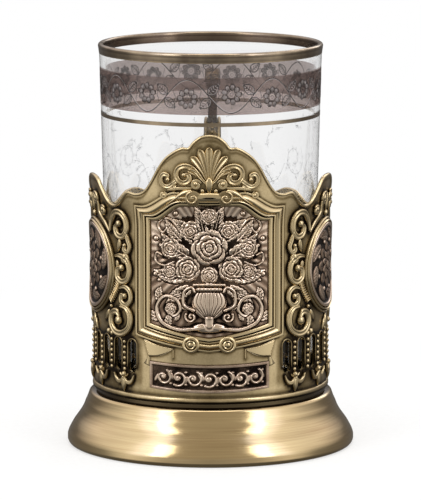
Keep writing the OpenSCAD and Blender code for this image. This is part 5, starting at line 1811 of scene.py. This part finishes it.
def band_engraving(dark, bright, count=16):
    """Ring flowers in the hollows of a waving stem, with veined leaves: a common engraved vine."""
    low_z, high_z = low("lustre_band", 2), high("lustre_band", 2)
    tall, pitch = (high_z - low_z) / 2, GLASS_TURN / count
    for k in range(count):
        start = np.array([(k + 0.5) * pitch, (low_z + high_z) / 2])
        flip = [1, 1 if k % 2 else -1]
        x = np.linspace(-0.5, 0.5, 40)
        wave = np.stack([x * pitch, (tall - 0.55) * np.cos(x * np.pi)], axis=1)
        scored(dark, start + wave * flip, 0.24)
        scored(bright, start + (wave - [0, 0.19]) * flip, 0.13, out=0.022)
        engraved_flower(dark, bright, start + [0, -0.62 * flip[1]], 9 * k)
        for h in (-1, 1):
            # Leaves on opposite sides of the stem where it crosses the band's middle
            ends = np.array([[pitch / 2 - 0.5 * h, 0.65 * h], [pitch / 2 + 2.9 * h, 3.55 * h]])
            engraved_leaf(dark, bright, *(start + ends * flip))
            # Bud on a short stalk beside the flower
            stalk = np.array([[pitch * 0.32, 1.75], [pitch * 0.3, 0.6], [pitch * 0.27, -0.4]])
            scored(dark, spline(start + stalk * [h, flip[1]], 4), 0.12)
            bud = start + np.array([h * pitch * 0.265, -1.1]) * flip
            scored(dark, oval(bud, 0.7, 0.42, 90, 14), 0.14)
            scored(bright, even([bud - [0, 0.4], bud + [0, 0.4]], 3), 0.1, out=0.02)


def glass_etching(shape):
    """Faint etched spirals of vine with sprigs between them, on the clear wall over the shell."""
    low_z, high_z = SHELL_Z + 50.0, low("gold_line", 2) - 1.0
    rng = np.random.default_rng(11)

    def etch(path, width):
        """A line on the wall, kept below the gold line and over the crest."""
        path[:, 1] = np.clip(path[:, 1], low_z, high_z)
        scored(shape, path, width, out=0.0)

    def leaflets(stem, sizes_mm, every, share):
        """Small pointed leaves on both sides of a stem, at a share of its points."""
        d = np.gradient(stem, axis=0)
        a = np.arctan2(d[:, 1], d[:, 0])
        for i in range(2, len(stem) - 1, every):
            for s in (-1, 1):
                if rng.random() > share:
                    continue
                b = a[i] + s * rng.uniform(0.5, 1.0)
                d = rng.uniform(*sizes_mm) * np.array([math.cos(b), math.sin(b)])
                n = np.array([-d[1], d[0]])
                for h in (-0.24, 0.24):
                    etch(spline([stem[i], stem[i] + 0.5 * d + h * n, stem[i] + d], 3), 0.055)

    count = 13
    for k in range(count):
        up = (-1) ** k
        at = np.array([(k + 0.5) * GLASS_TURN / count, low_z + 14 + 5 * up])
        vine = spiral(at, 5.6, 1.45, 40 + 25 * k, up, count=44)
        run = spline([at + [5.4, -2], at + [8.5, -7 * up], at + [13, -9 * up]])
        for stem, width, sizes_mm, share in ((vine, 0.08, (0.9, 1.7), 0.8), (run, 0.07, (0.8, 1.5), 0.7)):
            scored(shape, stem, width, out=0.0)
            leaflets(stem, sizes_mm, 3, share)
    for _ in range(150):
        at = np.array([rng.uniform(0, GLASS_TURN), low_z + (high_z - low_z) * rng.uniform(0, 1) ** 1.7])
        heading = rng.uniform(0, 2 * np.pi)
        a = heading + rng.uniform(-2.2, 2.2) * np.linspace(0, 1, 12)
        stem = at + np.cumsum(np.stack([np.cos(a), np.sin(a)], axis=1), axis=0) * rng.uniform(2.2, 6.0) / 11
        etch(stem, rng.uniform(0.045, 0.08))
        leaflets(stem, (0.5, 1.1), 2, 0.5)


class HOLDER_OT_glass(bpy.types.Operator):
    """Thin tea glass with its gilded rim, engraved lustre band, gold line and etched flowers"""

    bl_idname = "holder.glass"
    bl_label = "Glass and its bands"

    def execute(self, context):
        finish_piece(lathe(glass_profile()), "thin_tea_glass", "glass", "glass", "tumbler")
        lustre, line = coating("lustre_band", [0.0, 1.0, 1.0, 0.0]), coating("gold_line", 0.8)
        finish_piece(lustre, "lustre_layer", "glass", "lustre", "lustre_band", sharp=40)
        finish_piece(line, "gold_hairline", "glass", "gilding", "gold_line", sharp=40)
        finish_piece(gilded_lip(), "gilded_lip", "glass", "gilding", "gilded_rim", sharp=60)
        # bright gathers the painted highlights beside the engraved lines
        dark, bright, etched = Shape(), Shape(), Shape()
        band_engraving(dark, bright)
        glass_etching(etched)
        finish_piece(dark, "band_engraving", "glass", "engraving")
        finish_piece(bright, "band_engraving_edges", "glass", "painted_glint")
        finish_piece(etched, "etched_flowers", "glass", "etching")
        return {"FINISHED"}


class HOLDER_OT_inner_parts(bpy.types.Operator):
    """Finishes of the pieces kept from the construction: floor disc, screw, washer, nut and rivets"""

    bl_idname = "holder.inner_parts"
    bl_label = "Inner parts"

    def execute(self, context):
        kept = {
            "spun": ["floor_disc"], "steel": ["centre_screw", "washer", "nut"],
            "brass": ["plaque_rivets", "medallion_rivets", "nameplate_rivets", "handle_rivets"],
        }
        for kind, nodes in kept.items():
            for node in nodes:
                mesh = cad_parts[node].data
                mesh.materials.clear()
                mesh.materials.append(finish_material(kind))
        return {"FINISHED"}


# Grey levels round the horizon, as (share of half a turn from the camera's side, red, green, blue)
# At eye level: paper in front, dim at the sides, so that upright walls darken as they turn away
LEVEL_STOPS = [
    (0.0, 0.45, 0.445, 0.43), (0.2, 0.64, 0.63, 0.62), (0.3, 0.95, 0.94, 0.92), (0.37, 1.08, 1.07, 1.05),
    (0.43, 0.86, 0.85, 0.84), (0.52, 0.33, 0.325, 0.32), (0.64, 0.23, 0.22, 0.215), (0.77, 0.18, 0.17, 0.165),
    (1.0, 0.14, 0.135, 0.13),
]
# Above: two tall softboxes with a gap in front and paler walls beside them
ABOVE_STOPS = [
    (0.0, 0.50, 0.46, 0.40), (0.243, 0.52, 0.48, 0.42), (0.262, 1.75, 1.85, 2.3), (0.35, 2.1, 2.2, 2.7),
    (0.42, 1.36, 1.36, 1.38), (0.54, 1.16, 1.15, 1.18), (0.66, 1.12, 1.08, 1.12), (0.79, 1.05, 1.0, 1.04),
    (1.0, 0.95, 0.9, 0.93),
]
# Each softbox: place in metres, power in watts, width and height in metres
SOFTBOXES = {
    "left softbox": ((-0.75, -0.80, 0.75), 2.6, (0.3, 0.7)),
    "right softbox": ((0.80, -0.76, 0.7), 2.2, (0.3, 0.7)),
    "top softbox": ((0.0, -0.15, 1.3), 3.2, (0.7, 0.7)),
    "back softbox": ((0.5, 1.0, 0.7), 1.6, (0.4, 0.7)),
}


def paper_floor():
    """A wide sheet of white paper; near the object its shadow shows in it."""
    reach = 2500
    corners = [[-reach, -reach, 0], [reach, -reach, 0], [reach, reach, 0], [-reach, reach, 0]]
    made = Shape().add(corners, [[[0, 1, 2, 3]]]).object("floor")
    material, tree, place = new_material("seamless white paper")
    grain = add(tree, "ShaderNodeTexNoise", {"Vector": place, "Scale": 1 / (2 * MM), "Detail": 2.0})
    ramp = add(tree, "ShaderNodeValToRGB", {"Fac": grain.outputs["Fac"]})
    tint = ramp_stops(ramp, (0.3, linear("#F4F4F3")), (0.7, linear("#FAFAFA")))
    paper = add(tree, "ShaderNodeBsdfDiffuse", {"Color": tint})
    glow = add(tree, "ShaderNodeEmission", {"Color": WHITE, "Strength": 1.0})
    # The camera sees plain white paper farther out
    path = add(tree, "ShaderNodeLightPath")
    far = add(tree, "ShaderNodeVectorMath", {0: place}, operation="LENGTH")
    far = add(tree, "ShaderNodeMapRange", {
        "Value": far.outputs["Value"], "From Min": 0.06, "From Max": 0.30, "To Min": 0.55, "To Max": 1.0})
    share = add(tree, "ShaderNodeMath", {
        0: path.outputs["Is Camera Ray"], 1: far.outputs[0]}, operation="MULTIPLY")
    both = add(tree, "ShaderNodeMixShader", {0: share.outputs[0], 1: paper.outputs[0], 2: glow.outputs[0]})
    add(tree, "ShaderNodeOutputMaterial", {"Surface": both.outputs[0]})
    made.data.materials.append(material)
    # Metal and glass show the world's lower half instead, which is the paper as they see it
    made.visible_glossy = made.visible_transmission = False


def studio_world():
    """What the metal, the glass and the camera see round the object."""
    world = bpy.data.worlds.new("studio")
    bpy.context.scene.world = world
    world.use_nodes = True
    tree = world.node_tree
    tree.nodes.clear()
    place = add(tree, "ShaderNodeTexCoord")
    split = add(tree, "ShaderNodeSeparateXYZ", {"Vector": place.outputs["Generated"]})
    height = split.outputs["Z"]
    # Turn round the horizon as a share of half a circle: 0 is the camera's side, 1 is behind the object
    ahead = add(tree, "ShaderNodeMath", {0: split.outputs["Y"], 1: -1.0}, operation="MULTIPLY")
    aside = add(tree, "ShaderNodeMath", {0: split.outputs["X"]}, operation="ABSOLUTE")
    turn = add(tree, "ShaderNodeMath", {0: aside.outputs[0], 1: ahead.outputs[0]}, operation="ARCTAN2")
    turn = add(tree, "ShaderNodeMapRange", {"Value": turn.outputs[0], "From Max": math.pi})

    def surround(strength, stops):
        """A ramp round the horizon of grey levels, which it takes as shares of a strength."""
        ramp = add(tree, "ShaderNodeValToRGB", {"Fac": turn.outputs[0]})
        shares = [(at, (r / strength, g / strength, b / strength, 1)) for at, r, g, b in stops]
        return add(tree, "ShaderNodeBackground", {"Color": ramp_stops(ramp, *shares), "Strength": strength})

    # Undersides see the object's own shade on the paper
    fall = add(tree, "ShaderNodeMapRange", {"Value": height, "From Min": -0.55, "From Max": -0.25})
    rise = add(tree, "ShaderNodeMapRange", {"Value": height, "From Min": 0.12, "From Max": 0.42})
    # Through the glass: white paper all round it, dimmer far above and below
    steep = add(tree, "ShaderNodeMath", {0: height}, operation="ABSOLUTE")
    steep = add(tree, "ShaderNodeMapRange", {
        "Value": steep.outputs[0], "From Min": 0.3, "From Max": 0.8, "To Min": 0.89, "To Max": 0.45})
    below, plain, through, paper = (
        add(tree, "ShaderNodeBackground", {"Color": WHITE, "Strength": strength})
        for strength in (0.13, 0.9, steep.outputs[0], 1.0)
    )
    room = below
    for share, higher in ((fall, surround(1.2, LEVEL_STOPS)), (rise, surround(2.8, ABOVE_STOPS))):
        room = add(tree, "ShaderNodeMixShader", {
            0: share.outputs[0], 1: room.outputs[0], 2: higher.outputs[0]})
    # What each kind of ray meets; all other rays meet plain light
    path = add(tree, "ShaderNodeLightPath")
    seen = plain
    for kind, shown in (("Is Glossy Ray", room), ("Is Transmission Ray", through), ("Is Camera Ray", paper)):
        seen = add(tree, "ShaderNodeMixShader", {
            0: path.outputs[kind], 1: seen.outputs[0], 2: shown.outputs[0]})
    add(tree, "ShaderNodeOutputWorld", {"Surface": seen.outputs[0]})


def softbox(name, place, power, size):
    """A rectangular lamp that faces the object's middle."""
    light = bpy.data.lights.new(name, "AREA")
    light.energy, light.shape = power, "RECTANGLE"
    light.size, light.size_y = size
    lamp = bpy.data.objects.new(name, light)
    lamp.location = place
    aim = Vector((0, 0, 0.06)) - Vector(place)
    lamp.rotation_euler = aim.to_track_quat("-Z", "Y").to_euler()
    bpy.context.scene.collection.objects.link(lamp)


def photo_camera():
    """The photograph's view: 1.29 m away, 0.258 m up, looking 8.7 degrees down."""
    camera = bpy.data.cameras.new("camera")
    turn, away, up, pitch = math.radians(0.6), 1.290, 0.258, math.radians(8.70)
    camera.lens, camera.sensor_width, camera.clip_start = 299.7, 36.0, 0.01
    made = bpy.data.objects.new("camera", camera)
    made.location = (away * math.sin(turn), -away * math.cos(turn), up)
    made.rotation_euler = (math.pi / 2 - pitch, 0, turn)
    bpy.context.scene.collection.objects.link(made)
    bpy.context.scene.camera = made


class HOLDER_OT_stage(bpy.types.Operator):
    """Pale floor, soft lights and the camera"""

    bl_idname = "holder.stage"
    bl_label = "Stage"

    def execute(self, context):
        context.scene.view_settings.view_transform = "Standard"
        paper_floor()
        studio_world()
        for name, settings in SOFTBOXES.items():
            softbox(name, *settings)
        photo_camera()
        return {"FINISHED"}


class HOLDER_PT_panel(bpy.types.Panel):
    """Lists the sizes, the colours, and the operators in the order in which they run"""

    bl_label = "Tea glass holder"
    bl_idname = "HOLDER_PT_panel"
    bl_space_type = "VIEW_3D"
    bl_region_type = "UI"
    bl_category = "Tea Holder"

    def draw(self, context):
        for group in (context.scene.holder_sizes, context.scene.holder_colours):
            box = self.layout.box()
            for name in group.__annotations__:
                box.prop(group, name)
        for operator in OPERATORS:
            self.layout.operator(operator.bl_idname)


# The wall comes after the raised forms on it, because its patina follows them
OPERATORS = [
    HOLDER_OT_stage, HOLDER_OT_rims, HOLDER_OT_front_frame, HOLDER_OT_palmette, HOLDER_OT_side_scrolls,
    HOLDER_OT_medallions, HOLDER_OT_plaque, HOLDER_OT_nameplate, HOLDER_OT_beads, HOLDER_OT_shell,
    HOLDER_OT_pedestal, HOLDER_OT_handle, HOLDER_OT_glass, HOLDER_OT_inner_parts,
]
CLASSES = [HolderSizes, HolderColours, *OPERATORS, HOLDER_PT_panel]


def register():
    for one in CLASSES:
        bpy.utils.register_class(one)
    bpy.types.Scene.holder_sizes = bpy.props.PointerProperty(type=HolderSizes)
    bpy.types.Scene.holder_colours = bpy.props.PointerProperty(type=HolderColours)


def unregister():
    del bpy.types.Scene.holder_colours
    del bpy.types.Scene.holder_sizes
    for one in reversed(CLASSES):
        bpy.utils.unregister_class(one)


def main():
    register()
    for operator in OPERATORS:
        group, name = operator.bl_idname.split(".")
        getattr(getattr(bpy.ops, group), name)()


if __name__ == "__main__":
    main()
